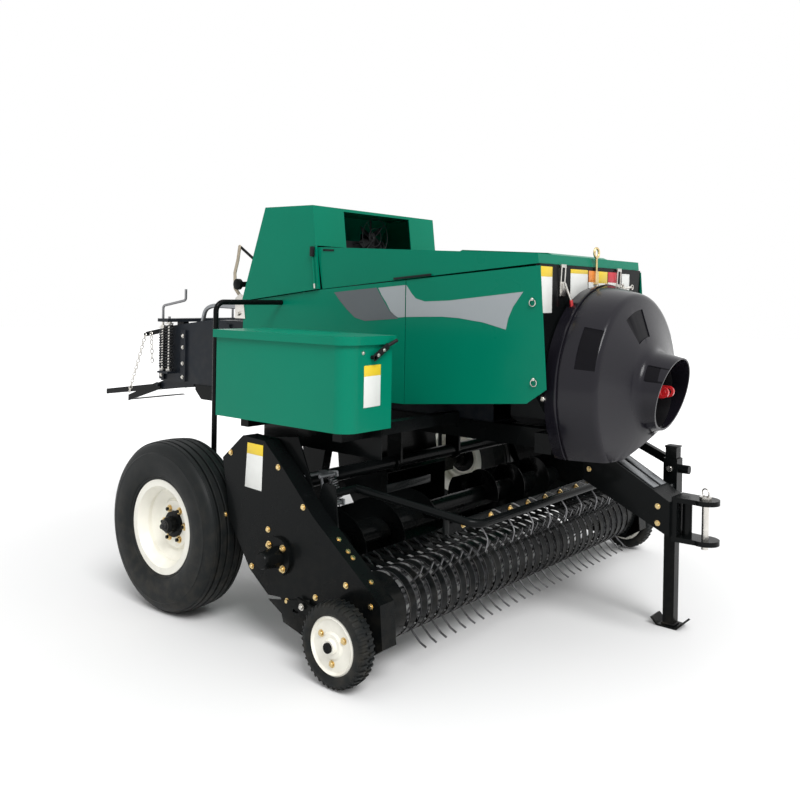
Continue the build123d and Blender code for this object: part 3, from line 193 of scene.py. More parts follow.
def line(points):
    """Draws a chain of edges from point to point and leaves it in edit mode."""
    clear_selection()
    bpy.ops.mesh.primitive_plane_add(size=0.01, location=points[0])
    bpy.ops.object.mode_set(mode="EDIT")
    bpy.ops.mesh.select_mode(type="VERT")
    bpy.ops.mesh.select_all(action="SELECT")
    bpy.ops.mesh.merge(type="CENTER")
    for start, end in zip(points, points[1:]):
        bpy.ops.mesh.extrude_region_move(TRANSFORM_OT_translate={"value": Vector(end) - Vector(start)})
    bpy.ops.mesh.select_all(action="SELECT")
    return bpy.context.view_layer.objects.active


def heal():
    """Merges doubles and turns the faces outwards, in edit mode, and goes back to object mode."""
    bpy.ops.mesh.select_all(action="SELECT")
    bpy.ops.mesh.remove_doubles(threshold=MERGE_GAP)
    bpy.ops.mesh.normals_make_consistent(inside=False)
    bpy.ops.object.mode_set(mode="OBJECT")


def plate(points, depth, rounding=0.0):
    """An outline filled and pushed out along depth."""
    obj = line(points)
    bpy.ops.mesh.edge_face_add()
    bpy.ops.mesh.extrude_region_move(TRANSFORM_OT_translate={"value": Vector(depth)})
    heal()
    settle(obj)
    return bevel(obj, rounding) if rounding else obj


def turned(profile, centre, axis, steps=24, start=0.0, sweep=360.0):
    """Spins (along, radius) points round an axis through centre."""
    u = Vector(axis).normalized()
    v = u.orthogonal().normalized() if abs(u.z) > 0.9 else (UP - u * u.z).normalized()
    v = Matrix.Rotation(math.radians(start), 3, u) @ v
    obj = line([Vector(centre) + u * a + v * r for a, r in profile])
    bpy.ops.mesh.spin(steps=steps, angle=math.radians(sweep), center=centre, axis=u)
    heal()
    return settle(obj)


def rod(a, b, radius, sides=14, edge=0.0008):
    """A round bar with its ends chamfered."""
    a, b = Vector(a), Vector(b)
    reach = (b - a).length
    edge = min(edge, radius / 2, reach / 3)
    profile = [(0, 0), (0, radius - edge), (edge, radius), (reach - edge, radius), (reach, radius - edge),
               (reach, 0)]
    return turned(profile, a, b - a, sides)


def ring(centre, axis, radius, wire, steps=28, sides=8):
    """A closed ring of round wire."""
    loop = [(wire * math.sin(2 * math.pi * k / sides), radius + wire * math.cos(2 * math.pi * k / sides))
            for k in range(sides)]
    return turned(loop + loop[:1], centre, axis, steps)


def block(corner, opposite, rounding=0.002):
    """A box between two opposite corners with its edges rounded."""
    clear_selection()
    bpy.ops.mesh.primitive_cube_add(size=1, location=(corner + opposite) / 2)
    obj = bpy.context.view_layer.objects.active
    obj.scale = [abs(span) for span in opposite - corner]
    settle(obj)
    return bevel(obj, rounding) if rounding else obj


def bar(a, b, width, depth, side=ALONG_Y, rounding=0.0015):
    """A flat bar between two points: width across side, depth along it."""
    a, b, side = Vector(a), Vector(b), Vector(side).normalized()
    across = (b - a).cross(side).normalized() * width / 2
    start = -side * depth / 2
    return plate([a + across + start, b + across + start, b - across + start, a - across + start],
                 side * depth, rounding)


def wire(points, radius, corner=0.0, sides=2):
    """A round wire or tube along points, its corners bent to a radius."""
    obj = line(points)
    if corner and len(points) > 2:
        bpy.ops.object.mode_set(mode="OBJECT")
        last = len(obj.data.vertices) - 1
        for vertex in obj.data.vertices:
            vertex.select = 0 < vertex.index < last
        bpy.ops.object.mode_set(mode="EDIT")
        bpy.ops.mesh.bevel(offset=corner, offset_type="OFFSET", segments=5, affect="VERTICES")
    bpy.ops.object.mode_set(mode="OBJECT")
    choose([obj])
    bpy.ops.object.convert(target="CURVE")
    obj.data.bevel_depth = radius
    obj.data.bevel_resolution = sides
    obj.data.use_fill_caps = True
    bpy.ops.object.convert(target="MESH")
    return settle(obj)


def coil(a, b, radius, thickness, turns, hooks=False):
    """A helical spring between two points, its ends drawn out to hooks when hooks is set."""
    a, b = Vector(a), Vector(b)
    u = (b - a).normalized()
    v = u.orthogonal().normalized()
    w = u.cross(v)
    count = int(turns * 10)
    reach = b - a
    points = []
    for k in range(count + 1):
        angle = 2 * math.pi * turns * k / count
        points.append(a + reach * (k / count) + (v * math.cos(angle) + w * math.sin(angle)) * radius)
    if hooks:
        points = [a - u * radius * 1.4] + points + [b + u * radius * 1.4]
    return wire(points, thickness, sides=1)


def copies(master, places):
    """One copy of a piece modelled along +Z at the origin for each (place, direction), joined."""
    made = []
    for place, direction in places:
        twin = duplicate(master)
        twin.rotation_mode = "QUATERNION"
        twin.rotation_quaternion = UP.rotation_difference(Vector(direction))
        twin.location = place
        made.append(twin)
    discard([master])
    return settle(join(made))


def cut(obj, cutters):
    """Takes the cutters out of a piece, one by one, and deletes them."""
    for cutter in cutters:
        choose([obj])
        hole = obj.modifiers.new("cut", "BOOLEAN")
        hole.operation = "DIFFERENCE"
        hole.object = cutter
        bpy.ops.object.modifier_apply(modifier=hole.name)
    discard(cutters)
    return obj


def sector(profile, centre, start, sweep):
    """A closed slice of a turned shape; with no window the spin turns back from its end to its start."""
    obj = turned(profile + profile[:1], centre, ALONG_X, HOLLOW_STEPS, start + sweep, sweep)
    choose([obj])
    bpy.ops.object.mode_set(mode="EDIT")
    bpy.ops.mesh.select_all(action="SELECT")
    bpy.ops.mesh.fill_holes(sides=0)
    heal()
    return obj


def chain(points, link, thickness):
    """Links of round wire along a line of points, each a quarter turn from the last."""
    made = []
    tip, shoulder, half_width, pitch = link * 0.50, link * 0.25, link * 0.28, link * 0.80
    master = wire([(half_width, 0, -shoulder), (half_width, 0, shoulder), (0, 0, tip),
                   (-half_width, 0, shoulder), (-half_width, 0, -shoulder), (0, 0, -tip),
                   (half_width, 0, -shoulder)], thickness, sides=1)
    for start, end in zip(points, points[1:]):
        start, end = Vector(start), Vector(end)
        count = max(1, round((end - start).length / pitch))
        for k in range(count):
            twin = duplicate(master)
            twin.rotation_mode = "QUATERNION"
            quarter = Matrix.Rotation(math.pi / 2 * (k % 2), 3, "Z").to_quaternion()
            twin.rotation_quaternion = UP.rotation_difference(end - start) @ quarter
            twin.location = start.lerp(end, (k + 0.5) / count)
            made.append(twin)
    discard([master])
    return settle(join(made))


def finish(obj, name, material, body, smooth=35, span=None):
    """Names a piece, smooths and paints it, and hangs it on its body; with a span it keeps its place in its
    mesh and hangs on no body.
    """
    choose([obj])
    obj.name = name
    obj.data.name = name
    bpy.ops.object.transform_apply(location=True, rotation=True, scale=True)
    bpy.ops.object.shade_smooth_by_angle(angle=math.radians(smooth))
    obj.data.materials.clear()
    obj.data.materials.append(bpy.data.materials[material])
    if span:
        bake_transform(obj)
    else:
        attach(obj, body)
    return obj


def hex_bolt(radius, stud=0.0):
    """A hexagon head on its washer, with an optional stud end."""
    height, washer_top, washer_edge = radius * 0.62, radius * 0.16, radius * 1.3
    clear_selection()
    bpy.ops.mesh.primitive_cylinder_add(vertices=6, radius=radius, depth=height,
                                        location=(0, 0, washer_top + height / 2))
    head = bpy.context.view_layer.objects.active
    settle(head)
    bevel(head, radius * 0.12, 1)
    washer = turned([(0, 0), (0, washer_edge), (washer_top, washer_edge), (washer_top, 0)], (0, 0, 0), UP, 16)
    parts = [head, washer]
    if stud:
        top = washer_top + height
        parts.append(turned([(top, 0), (top, radius * 0.55), (top + stud * 0.8, radius * 0.55),
                             (top + stud, radius * 0.4), (top + stud, 0)], (0, 0, 0), UP, 12))
    return join(parts)


def on_both_sides(y, spots):
    """Each (x, z) at y on the right and then on the left side, with its way out."""
    return [((x, side * y, z), (0, side, 0)) for side in (-1, 1) for x, z in spots]


def bolt_group(name, spots, body, material="zinc", radius=None, stud=0.0):
    """Bolts at (x, y, z) from the axle, each with its direction."""
    radius = radius or sizes().bolt
    obj = copies(hex_bolt(radius, stud=stud), [(at(*place), direction) for place, direction in spots])
    return finish(obj, name, material, body)


# Materials

VECTOR, COLOUR, NUMBER = "NodeSocketVector", "NodeSocketColor", "NodeSocketFloat"
COAT_ROUGHNESS = 0.08
GRAIN_HEIGHT = 0.002
FIELD_DUST = (0.30, 0.25, 0.18, 1.0)


def node_group(name, inputs, outputs):
    """A new shader node group: its tree, what is given to it, and its output node."""
    tree = bpy.data.node_groups.new(name, "ShaderNodeTree")
    for label, kind, value in inputs:
        socket = tree.interface.new_socket(name=label, in_out="INPUT", socket_type=kind)
        if value is not None:
            socket.default_value = value
    for label, kind in outputs:
        tree.interface.new_socket(name=label, in_out="OUTPUT", socket_type=kind)
    return tree, tree.nodes.new("NodeGroupInput").outputs, tree.nodes.new("NodeGroupOutput")


def feed(tree, node, inputs):
    """Gives inputs, by name or number, a value or another node's output."""
    for key, value in inputs.items():
        if isinstance(value, bpy.types.NodeSocket):
            tree.links.new(value, node.inputs[key])
        else:
            node.inputs[key].default_value = value


def add(tree, kind, inputs=None, **settings):
    """A shader node with its settings and inputs."""
    node = tree.nodes.new("ShaderNode" + kind)
    for key, value in settings.items():
        setattr(node, key, value)
    feed(tree, node, inputs or {})
    return node


def build_mottle_group():
    """Cloudy change of tone and gloss, from the piece's own coordinates."""
    tree, given, result = node_group(
        "mottle", [("Vector", VECTOR, None), ("Colour", COLOUR, None), ("Scale", NUMBER, 3.0),
                   ("Amount", NUMBER, 0.1), ("Roughness", NUMBER, 0.4)],
        [("Colour", COLOUR), ("Roughness", NUMBER)])
    noise = add(tree, "TexNoise", {"Vector": given["Vector"], "Scale": given["Scale"], "Detail": 5.0})
    spread = add(tree, "MapRange", {0: noise.outputs["Fac"], 1: 0.3, 2: 0.7, 3: -0.5, 4: 0.5})
    cloud = add(tree, "Math", {0: spread.outputs[0], 1: given["Amount"]}, operation="MULTIPLY").outputs[0]
    lift = add(tree, "Math", {0: cloud, 1: 1.0}, operation="ADD")
    tone = add(tree, "HueSaturation", {"Value": lift.outputs[0], "Color": given["Colour"]})
    gloss = add(tree, "Math", {0: cloud, 1: 0.6, 2: given["Roughness"]}, operation="MULTIPLY_ADD")
    feed(tree, result, {"Colour": tone.outputs[0], "Roughness": gloss.outputs[0]})


def build_dust_group():
    """Field dust that gathers near the ground."""
    tree, given, result = node_group(
        "dust", [("Vector", VECTOR, None), ("Colour", COLOUR, None), ("Dust", COLOUR, FIELD_DUST),
                 ("Height", NUMBER, 0.7), ("Amount", NUMBER, 0.15)],
        [("Colour", COLOUR)])
    split = add(tree, "SeparateXYZ", {0: given["Vector"]})
    fall = add(tree, "MapRange", {0: split.outputs["Z"], 1: 0.0, 2: given["Height"], 3: 1.0, 4: 0.0})
    noise = add(tree, "TexNoise", {"Vector": given["Vector"], "Scale": 22.0, "Detail": 8.0})
    speck = add(tree, "MapRange", {0: noise.outputs["Fac"], 1: 0.42, 2: 0.68, 3: 0.0, 4: 1.0})
    mask = add(tree, "Math", {0: fall.outputs[0], 1: speck.outputs[0]}, operation="MULTIPLY")
    share = add(tree, "Math", {0: mask.outputs[0], 1: given["Amount"]}, operation="MULTIPLY", use_clamp=True)
    mix = add(tree, "Mix", {0: share.outputs[0], 6: given["Colour"], 7: given["Dust"]}, data_type="RGBA")
    feed(tree, result, {"Colour": mix.outputs[2]})


def build_grain_group():
    """A fine uneven surface, as of sprayed paint, moulded plastic or cast iron."""
    tree, given, result = node_group(
        "grain", [("Vector", VECTOR, None), ("Scale", NUMBER, 200.0), ("Depth", NUMBER, 0.1)],
        [("Normal", VECTOR)])
    noise = add(tree, "TexNoise", {"Vector": given["Vector"], "Scale": given["Scale"], "Detail": 3.0})
    bump = add(tree, "Bump", {"Distance": GRAIN_HEIGHT, "Strength": given["Depth"],
                              "Height": noise.outputs["Fac"]})
    feed(tree, result, {"Normal": bump.outputs["Normal"]})


def surface(name, rgb, rough=0.35, metal=0.0, coat=0.0, shine=0.5, mottle=(3.0, 0.12), grain=(180.0, 0.06),
            dust=(0.7, 0.12)):
    """A material with cloudy tone, dust and grain on one Principled shader."""
    material = bpy.data.materials.new(name)
    material.use_nodes = True
    tree = material.node_tree
    shader = tree.nodes["Principled BSDF"]
    groups = bpy.data.node_groups
    spot = add(tree, "TexCoord").outputs["Object"]
    cloud = add(tree, "Group", {"Vector": spot, "Colour": (*rgb, 1.0), "Scale": mottle[0],
                                "Amount": mottle[1], "Roughness": rough}, node_tree=groups["mottle"])
    film = add(tree, "Group", {"Vector": spot, "Colour": cloud.outputs["Colour"], "Height": dust[0],
                               "Amount": dust[1]}, node_tree=groups["dust"])
    skin = add(tree, "Group", {"Vector": spot, "Scale": grain[0], "Depth": grain[1]},
               node_tree=groups["grain"])
    feed(tree, shader, {"Metallic": metal, "Specular IOR Level": shine, "Coat Weight": coat,
                        "Coat Roughness": COAT_ROUGHNESS, "Base Color": film.outputs["Colour"],
                        "Roughness": cloud.outputs["Roughness"], "Normal": skin.outputs["Normal"]})


def build_materials():
    for name, build in (("mottle", build_mottle_group), ("dust", build_dust_group),
                        ("grain", build_grain_group)):
        if name not in bpy.data.node_groups:
            build()
    tints = colours()
    surface("green", tints.green, 0.30, coat=0.03, shine=0.10, mottle=(1.6, 0.10), grain=(90, 0.03),
            dust=(1.0, 0.04))
    surface("black", tints.black, 0.25, coat=0.06, shine=0.06, mottle=(4.0, 0.30), grain=(120, 0.05),
            dust=(0.55, 0.03))
    surface("cream", tints.cream, 0.34, coat=0.2, mottle=(5.0, 0.08), grain=(90, 0.04), dust=(0.5, 0.16))
    surface("chamber", tints.chamber, 0.38, coat=0.03, shine=0.12, mottle=(6.0, 0.3), grain=(120, 0.08),
            dust=(1.4, 0.08))
    surface("cover", tints.cover, 0.22, coat=0.12, shine=0.2, mottle=(3.0, 0.16), grain=(340, 0.05),
            dust=(0.90, 0.14))
    # A darker, matt copy of the cover plastic: its dark tone is painted shade on the floors of the shallow
    # hollows.
    surface("cover_recess", tuple(0.4 * c for c in tints.cover), 0.34, shine=0.1, mottle=(6.0, 0.2),
            grain=(340, 0.08))
    surface("red", tints.red, 0.32, coat=0.3, mottle=(20.0, 0.15))
    surface("zinc", tints.zinc, 0.30, metal=1.0, mottle=(60.0, 0.25), grain=(400, 0.08), dust=(0.6, 0.08))
    surface("gold", tints.gold, 0.30, metal=1.0, mottle=(50.0, 0.25), grain=(400, 0.06))
    surface("spring", (0.25, 0.25, 0.26), 0.34, metal=1.0, mottle=(40.0, 0.3), grain=(300, 0.1))
    surface("iron", (0.030, 0.031, 0.033), 0.50, metal=0.2, shine=0.2, mottle=(14.0, 0.3), grain=(260, 0.3))
    surface("rubber", tints.rubber, 0.52, shine=0.18, mottle=(9.0, 0.22), grain=(420, 0.16), dust=(0.8, 0.06))
    surface("dark_plastic", (0.010, 0.010, 0.011), 0.45, shine=0.15, mottle=(10.0, 0.2), grain=(400, 0.15))
    surface("grey_steel", (0.26, 0.27, 0.28), 0.38, metal=0.8, mottle=(16.0, 0.3), grain=(200, 0.08))
    surface("tan", (0.42, 0.36, 0.27), 0.40, mottle=(30.0, 0.2), grain=(200, 0.06))
    surface("swoosh", tints.swoosh, 0.32, coat=0.1, mottle=(4.0, 0.06), grain=(150, 0.02))
    surface("stripe_panel", tints.panel, 0.32, coat=0.1, mottle=(4.0, 0.08), grain=(150, 0.02))
    for name, rgb in (("sign_white", (0.80, 0.81, 0.78)), ("sign_yellow", (0.86, 0.62, 0.03)),
                      ("sign_orange", (0.85, 0.28, 0.05)), ("sign_red", (0.62, 0.03, 0.05))):
        surface(name, rgb, 0.35, mottle=(20.0, 0.05), grain=(200, 0.02))


SLOT_MATERIALS = {
    "green_paint": "green", "black_paint": "black", "cream_paint": "cream", "chamber_paint": "chamber",
    "red_paint": "red", "zinc_steel": "zinc", "spring_steel": "spring", "cast_iron": "iron",
    "grey_plastic": "cover", "black_plastic": "dark_plastic", "tyre": "rubber",
}


def paint_region(node, material, low, high):
    """Gives the faces of a CAD node inside a box a second material."""
    mesh = frame["nodes"][node].data
    mesh.materials.append(bpy.data.materials[material])
    index = len(mesh.materials) - 1
    low, high = at(*low), at(*high)
    for face in mesh.polygons:
        middle = face.center
        if all(low[k] <= middle[k] <= high[k] for k in range(3)):
            face.material_index = index


class BALER_OT_paint(bpy.types.Operator):
    """Makes the materials and paints every CAD node with the one of its slot"""

    bl_idname = "baler.paint"
    bl_label = "Paint the CAD nodes"

    def execute(self, context):
        build_materials()
        for entry in frame["record"]["subparts"]:
            mesh = frame["nodes"][entry["node"]].data
            mesh.materials.clear()
            mesh.materials.append(bpy.data.materials[SLOT_MATERIALS[entry["material_slot"]]])
        paint_region("bulkheads", "gold", (1.5005, -0.05, 1.50), (1.54, 0.05, 1.70))
        paint_region("tension_gear", "chamber", (-1.40, -0.32, 0.90), (-1.20, 0.32, 0.950))
        paint_region("tension_gear", "chamber", (-1.40, -0.32, 1.250), (-1.20, 0.32, 1.2755))
        paint_region("tension_gear", "spring", (-1.40, -0.36, 1.2756), (-1.00, 0.36, 1.50))
        return {"FINISHED"}


# Tyres and wheels

class BALER_OT_main_tyres(bpy.types.Operator):
    """Two ribbed implement tyres with grooved treads, beads and sidewall rings"""

    bl_idname = "baler.main_tyres"
    bl_label = "Main tyres"

    def execute(self, context):
        deep = sizes().groove
        half = [
            (0.0827, 0.1908), (0.0827, 0.2125), (0.0905, 0.2150), (0.0945, 0.2190), (0.0950, 0.2250),
            (0.1010, 0.2300), (0.1075, 0.2460), (0.1115, 0.2660), (0.1129, 0.2900), (0.1122, 0.3120),
            (0.1096, 0.3270), (0.1100, 0.3300), (0.1082, 0.3330), (0.1062, 0.3345), (0.1030, 0.3480),
            (0.0975, 0.3600), (0.0910, 0.3680), (0.0850, 0.3720), (0.0780, 0.3750),
        ]
        ribs = [(0.0780, 0.0610), (0.0520, 0.0250), (0.0160, 0.0)]
        crown = []
        for outer, inner in ribs:
            top_out = WHEEL["radius"] - 0.9 * outer ** 2
            top_in = WHEEL["radius"] - 0.9 * inner ** 2
            crown += [(outer, top_out - 0.0012), (outer - 0.0015, top_out)]
            if inner:
                crown += [(inner + 0.0015, top_in), (inner, top_in - 0.0012),
                          (inner - 0.0012, top_in - deep), (inner - 0.0078, top_in - deep)]
        right = half + crown
        left = [(-a, r) for a, r in reversed(right)]
        loop = right + left
        for side, tag in SIDES:
            centre = at(WHEEL["x"], side * WHEEL["y"], WHEEL["z"])
            tyre = turned(loop + loop[:1], centre, ALONG_Y, 96)
            finish(tyre, "ribbed_tyre_" + tag, "rubber", "wheel_" + tag, 28)
            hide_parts("tyre_" + tag)
        return {"FINISHED"}


class BALER_OT_wheel_fixings(bpy.types.Operator):
    """Wheel nuts on their studs and spindle nuts"""

    bl_idname = "baler.wheel_fixings"
    bl_label = "Wheel nuts and caps"

    def execute(self, context):
        for side, tag in SIDES:
            out = Vector((0, side, 0))
            spots = []
            for turn in range(6):
                angle = turn * math.pi / 3
                spots.append(((0.074 * math.cos(angle), side * 1.1332, 0.385 + 0.074 * math.sin(angle)), out))
            bolt_group("wheel_nuts_" + tag, spots, "wheel_" + tag, "gold", radius=0.0135, stud=0.006)
            nut = copies(hex_bolt(0.019, stud=0.010), [(at(0, side * 1.1832, 0.385), out)])
            finish(nut, "spindle_nut_" + tag, "iron", "wheel_" + tag)
        return {"FINISHED"}


class BALER_OT_gauge_tyres(bpy.types.Operator):
    """Two small lugged tyres, their disc bolts and spindle nuts"""

    bl_idname = "baler.gauge_tyres"
    bl_label = "Gauge tyres"

    def execute(self, context):
        tall = sizes().lug
        crown = 0.1595 - tall
        half = [(0.0310, 0.1083), (0.0350, 0.1120), (0.0392, 0.1200), (0.0405, 0.1300), (0.0395, 0.1395),
                (0.0350, 0.1475), (0.0270, crown), (0.0, crown + 0.0005)]
        loop = half + [(-a, r) for a, r in reversed(half[:-1])]
        for side, tag in SIDES:
            centre = at(GAUGE["x"], side * GAUGE["y"], GAUGE["z"])
            carcass = turned(loop + loop[:1], centre, ALONG_Y, 72)
            lugs = []
            master = plate([(0.004, -0.0045, 0.150), (0.030, -0.0042, 0.1485), (0.0385, -0.0035, 0.1380),
                            (0.0402, -0.0035, 0.1420), (0.0345, -0.0042, 0.1545), (0.004, -0.0045, 0.1586)],
                           (0, 0.0085, 0), 0.001)
            for turn in range(GAUGE_LUGS):
                for hand in (1, -1):
                    lug = duplicate(master)
                    angle = 2 * math.pi * (turn + (0.5 if hand < 0 else 0)) / GAUGE_LUGS
                    facing = 0 if hand > 0 else math.pi
                    lug.matrix_world = (Matrix.Translation(centre) @ Matrix.Rotation(angle, 4, "Y")
                                        @ Matrix.Rotation(math.pi / 2 + facing, 4, "Z"))
                    lugs.append(lug)
            discard([master])
            tyre = join([carcass] + lugs)
            finish(tyre, "lugged_tyre_" + tag, "rubber", "gauge_wheel_" + tag, 30)
            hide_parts("gauge_tyre_" + tag)
            out = Vector((0, side, 0))
            spots = []
            for turn in range(3):
                angle = math.radians(150 + 120 * turn)
                spots.append(((GAUGE["x"] + 0.066 * math.cos(angle), side * 1.2405,
                               GAUGE["z"] + 0.066 * math.sin(angle)), out))
            bolt_group("gauge_bolts_" + tag, spots, "gauge_wheel_" + tag, "gold", radius=0.0105)
            pin = copies(hex_bolt(0.0095, stud=0.004), [(at(GAUGE["x"], side * 1.2571, GAUGE["z"]), out)])
            finish(pin, "gauge_pin_nut_" + tag, "gold", "pickup")
        return {"FINISHED"}


# Bolts

class BALER_OT_bolts(bpy.types.Operator):
    """Bolts of the end shields, bearing, arms, frame and hitch"""

    bl_idname = "baler.bolts"
    bl_label = "Bolts"

    def execute(self, context):
        shield = [(0.399, 0.764), (0.696, 0.742), (0.843, 0.605), (0.368, 0.494), (0.641, 0.480),
                  (1.079, 0.350), (0.919, 0.267), (1.205, 0.300), (0.760, 0.215), (0.545, 0.310)]
        bolt_group("shield_bolts", on_both_sides(SHIELD_FACE, shield), "pickup", "gold", radius=0.0095)
        edge_top, fall = Vector((0.894, 0, 0.5793)), Vector((0.355, 0, -0.265))
        edge = []
        for side in (-1, 1):
            for x in (1.000, 1.050, 1.075, 1.170):
                spot = edge_top + fall * ((x - edge_top.x) / fall.x)
                edge.append(((x, side * 1.100, spot.z), (-fall.z, 0, fall.x)))
        bolt_group("edge_bolts", edge, "pickup", "gold", radius=0.0085)
        bearing = []
        for angle in (45, 135, 225, 315):
            across = AUGER["flange"] * math.cos(math.radians(angle))
            rise = AUGER["flange"] * math.sin(math.radians(angle))
            bearing.append(((AUGER["x"] + across, -1.1565, AUGER["z"] + rise), (0, -1, 0)))
        bolt_group("bearing_bolts", bearing, "pickup", "gold", radius=0.0120, stud=0.006)
        bolt_group("arm_bolts", on_both_sides(ARM_FACE, [(0.872, 0.226), (0.968, 0.194)]), "pickup",
                   radius=0.0105)
        tongue = [((x, -TONGUE_SIDE, z), (0, -1, 0))
                  for x, z in ((1.845, 0.520), (1.845, 0.590), (1.530, 0.700), (1.530, 0.790))]
        tongue += [((x, TONGUE_SIDE, z), (0, 1, 0))
                   for x, z in ((1.845, 0.520), (1.530, 0.700), (1.530, 0.790))]
        bolt_group("tongue_bolts", tongue, "chassis", "gold", radius=0.0090)
        beam = [((BULKHEAD_FACE, y, z), ALONG_X)
                for y in (-0.330, -0.270, 0.270, 0.330) for z in (0.815, 0.855)]
        bolt_group("beam_bolts", beam, "chassis", "gold", radius=0.0120)
        front = ((-0.334, 0.974), (-0.274, 0.952), (-0.357, 0.906), (-0.439, 1.033))
        bolt_group("front_bolts", [((BULKHEAD_FACE, y, z), ALONG_X) for y, z in front], "chassis",
                   radius=0.0105, stud=0.006)
        chamber = [(x, z) for x in (-1.377, -1.157, -0.737) for z in (0.915, 1.00, 1.10, 1.17)]
        bolt_group("chamber_bolts", on_both_sides(CHAMBER_SIDE, chamber), "chassis", radius=0.0095)
        return {"FINISHED"}


# Signs and stripes

SIGN_GAP = 0.0003
SIDE_SIGNS = [
    ("shield", "pickup", (0, -1, 0), 0.24,
     [(0.506, -1.1402, 0.820), (0.603, -1.1402, 0.818), (0.597, -1.1402, 0.629), (0.493, -1.1402, 0.634)]),
    ("box", "chassis", (1, 0, 0), 0.26,
     [(BOX_FRONT, -1.029, 1.169), (BOX_FRONT, -0.931, 1.171), (BOX_FRONT, -0.931, 1.007),
      (BOX_FRONT, -1.029, 1.005)]),
]
FRONT_SIGNS = [
    ("front_a", -0.470, -0.378, 1.573, 1.383, 0.22, "sign_yellow"),
    ("front_b", -0.223, -0.068, 1.569, 1.442, 0.14, "sign_yellow"),
    ("front_c", -0.060, 0.030, 1.567, 1.400, 0.30, "sign_orange"),
    ("front_d", 0.036, 0.122, 1.567, 1.450, 0.45, "sign_yellow"),
    ("front_e", 0.128, 0.222, 1.567, 1.475, 0.52, "sign_red"),
    ("front_f", 0.270, 0.352, 1.563, 1.480, 0.10, "sign_white"),
]


def sign(name, body, corners, out, head, header):
    """A blank sign: a white plate, and a coloured head on its upper part."""
    out = Vector(out)
    top_left, top_right, low_right, low_left = [at(*corner) + out * SIGN_GAP for corner in corners]
    left = top_left.lerp(low_left, head)
    right = top_right.lerp(low_right, head)
    thick = out * sizes().sign
    finish(plate([left, right, low_right, low_left], thick, 0.0002), "sign_" + name, "sign_white", body)
    finish(plate([top_left, top_right, right, left], thick, 0.0002), "sign_head_" + name, header, body)


class BALER_OT_signs(bpy.types.Operator):
    """Blank sign plates on the shields, twine boxes and front bulkhead"""

    bl_idname = "baler.signs"
    bl_label = "Blank signs"

    def execute(self, context):
        for name, body, out, head, corners in SIDE_SIGNS:
            for flip, tag in ((1, name), (-1, name + "_l")):
                spots = [(x, flip * y, z) for x, y, z in corners]
                sign(tag, body, spots, (out[0], flip * out[1], out[2]), head, "sign_yellow")
        for name, left, right, top, low, head, header in FRONT_SIGNS:
            corners = [(BULKHEAD_FACE, left, top), (BULKHEAD_FACE, right, top), (BULKHEAD_FACE, right, low),
                       (BULKHEAD_FACE, left, low)]
            sign(name, "chassis", corners, ALONG_X, head, header)
        return {"FINISHED"}


class BALER_OT_stripes(bpy.types.Operator):
    """The dark panel and the long light stripe on both sides"""

    bl_idname = "baler.stripes"
    bl_label = "Side stripes"

    def execute(self, context):
        dark = [(0.355, 1.454), (0.630, 1.479), (0.672, 1.422), (0.709, 1.376), (0.764, 1.338),
                (0.560, 1.321), (0.495, 1.335), (0.440, 1.374), (0.395, 1.413)]
        light_rear = [(0.640, 1.478), (0.803, 1.492), (0.803, 1.3465), (0.764, 1.343), (0.724, 1.361),
                      (0.693, 1.407), (0.661, 1.445)]
        light_front = [(0.809, 1.4925), (0.840, 1.455), (0.865, 1.432), (0.917, 1.419), (1.056, 1.426),
                       (1.187, 1.441), (1.426, 1.468), (1.379, 1.406), (1.356, 1.357), (1.345, 1.310),
                       (1.232, 1.336), (1.102, 1.351), (1.012, 1.354), (0.881, 1.350), (0.809, 1.347)]
        for side, tag in SIDES:
            out = Vector((0, side, 0)) * 0.0006
            for name, outline, material in (("dark_stripe_", dark, "stripe_panel"),
                                            ("light_stripe_rear_", light_rear, "swoosh"),
                                            ("light_stripe_front_", light_front, "swoosh")):
                piece = plate([at(x, side * PANEL_FACE, z) for x, z in outline], out)
                finish(piece, name + tag, material, "chassis")
        return {"FINISHED"}


# Hoods

def over_centre_latch(y, top, reach):
    """A wire bail hooked over the hood's lip, a lever and its grip, on the front bulkhead."""
    x = BULKHEAD_FACE
    bail = wire([at(x + 0.006, y - 0.016, top - 0.075), at(x + 0.010, y - 0.016, top),
                 at(x + 0.010, y + 0.016, top), at(x + 0.006, y + 0.016, top - 0.075)], 0.0032, 0.006)
    base = block(at(x, y - 0.022, top - 0.125), at(x + 0.008, y + 0.022, top - 0.065), 0.001)
    lever = wire([at(x + 0.016, y, top - 0.070), at(x + 0.024, y + 0.010, top - 0.105),
                  at(x + 0.030, y + 0.030, top - reach + 0.030)], 0.0050, 0.010)
    hook = block(at(x + 0.001, y - 0.020, top - 0.006), at(x + 0.013, y + 0.020, top + 0.008), 0.0015)
    grip = rod(at(x + 0.030, y + 0.030, top - reach + 0.034), at(x + 0.032, y + 0.036, top - reach), 0.0075)
    return [bail, base, lever, hook], grip


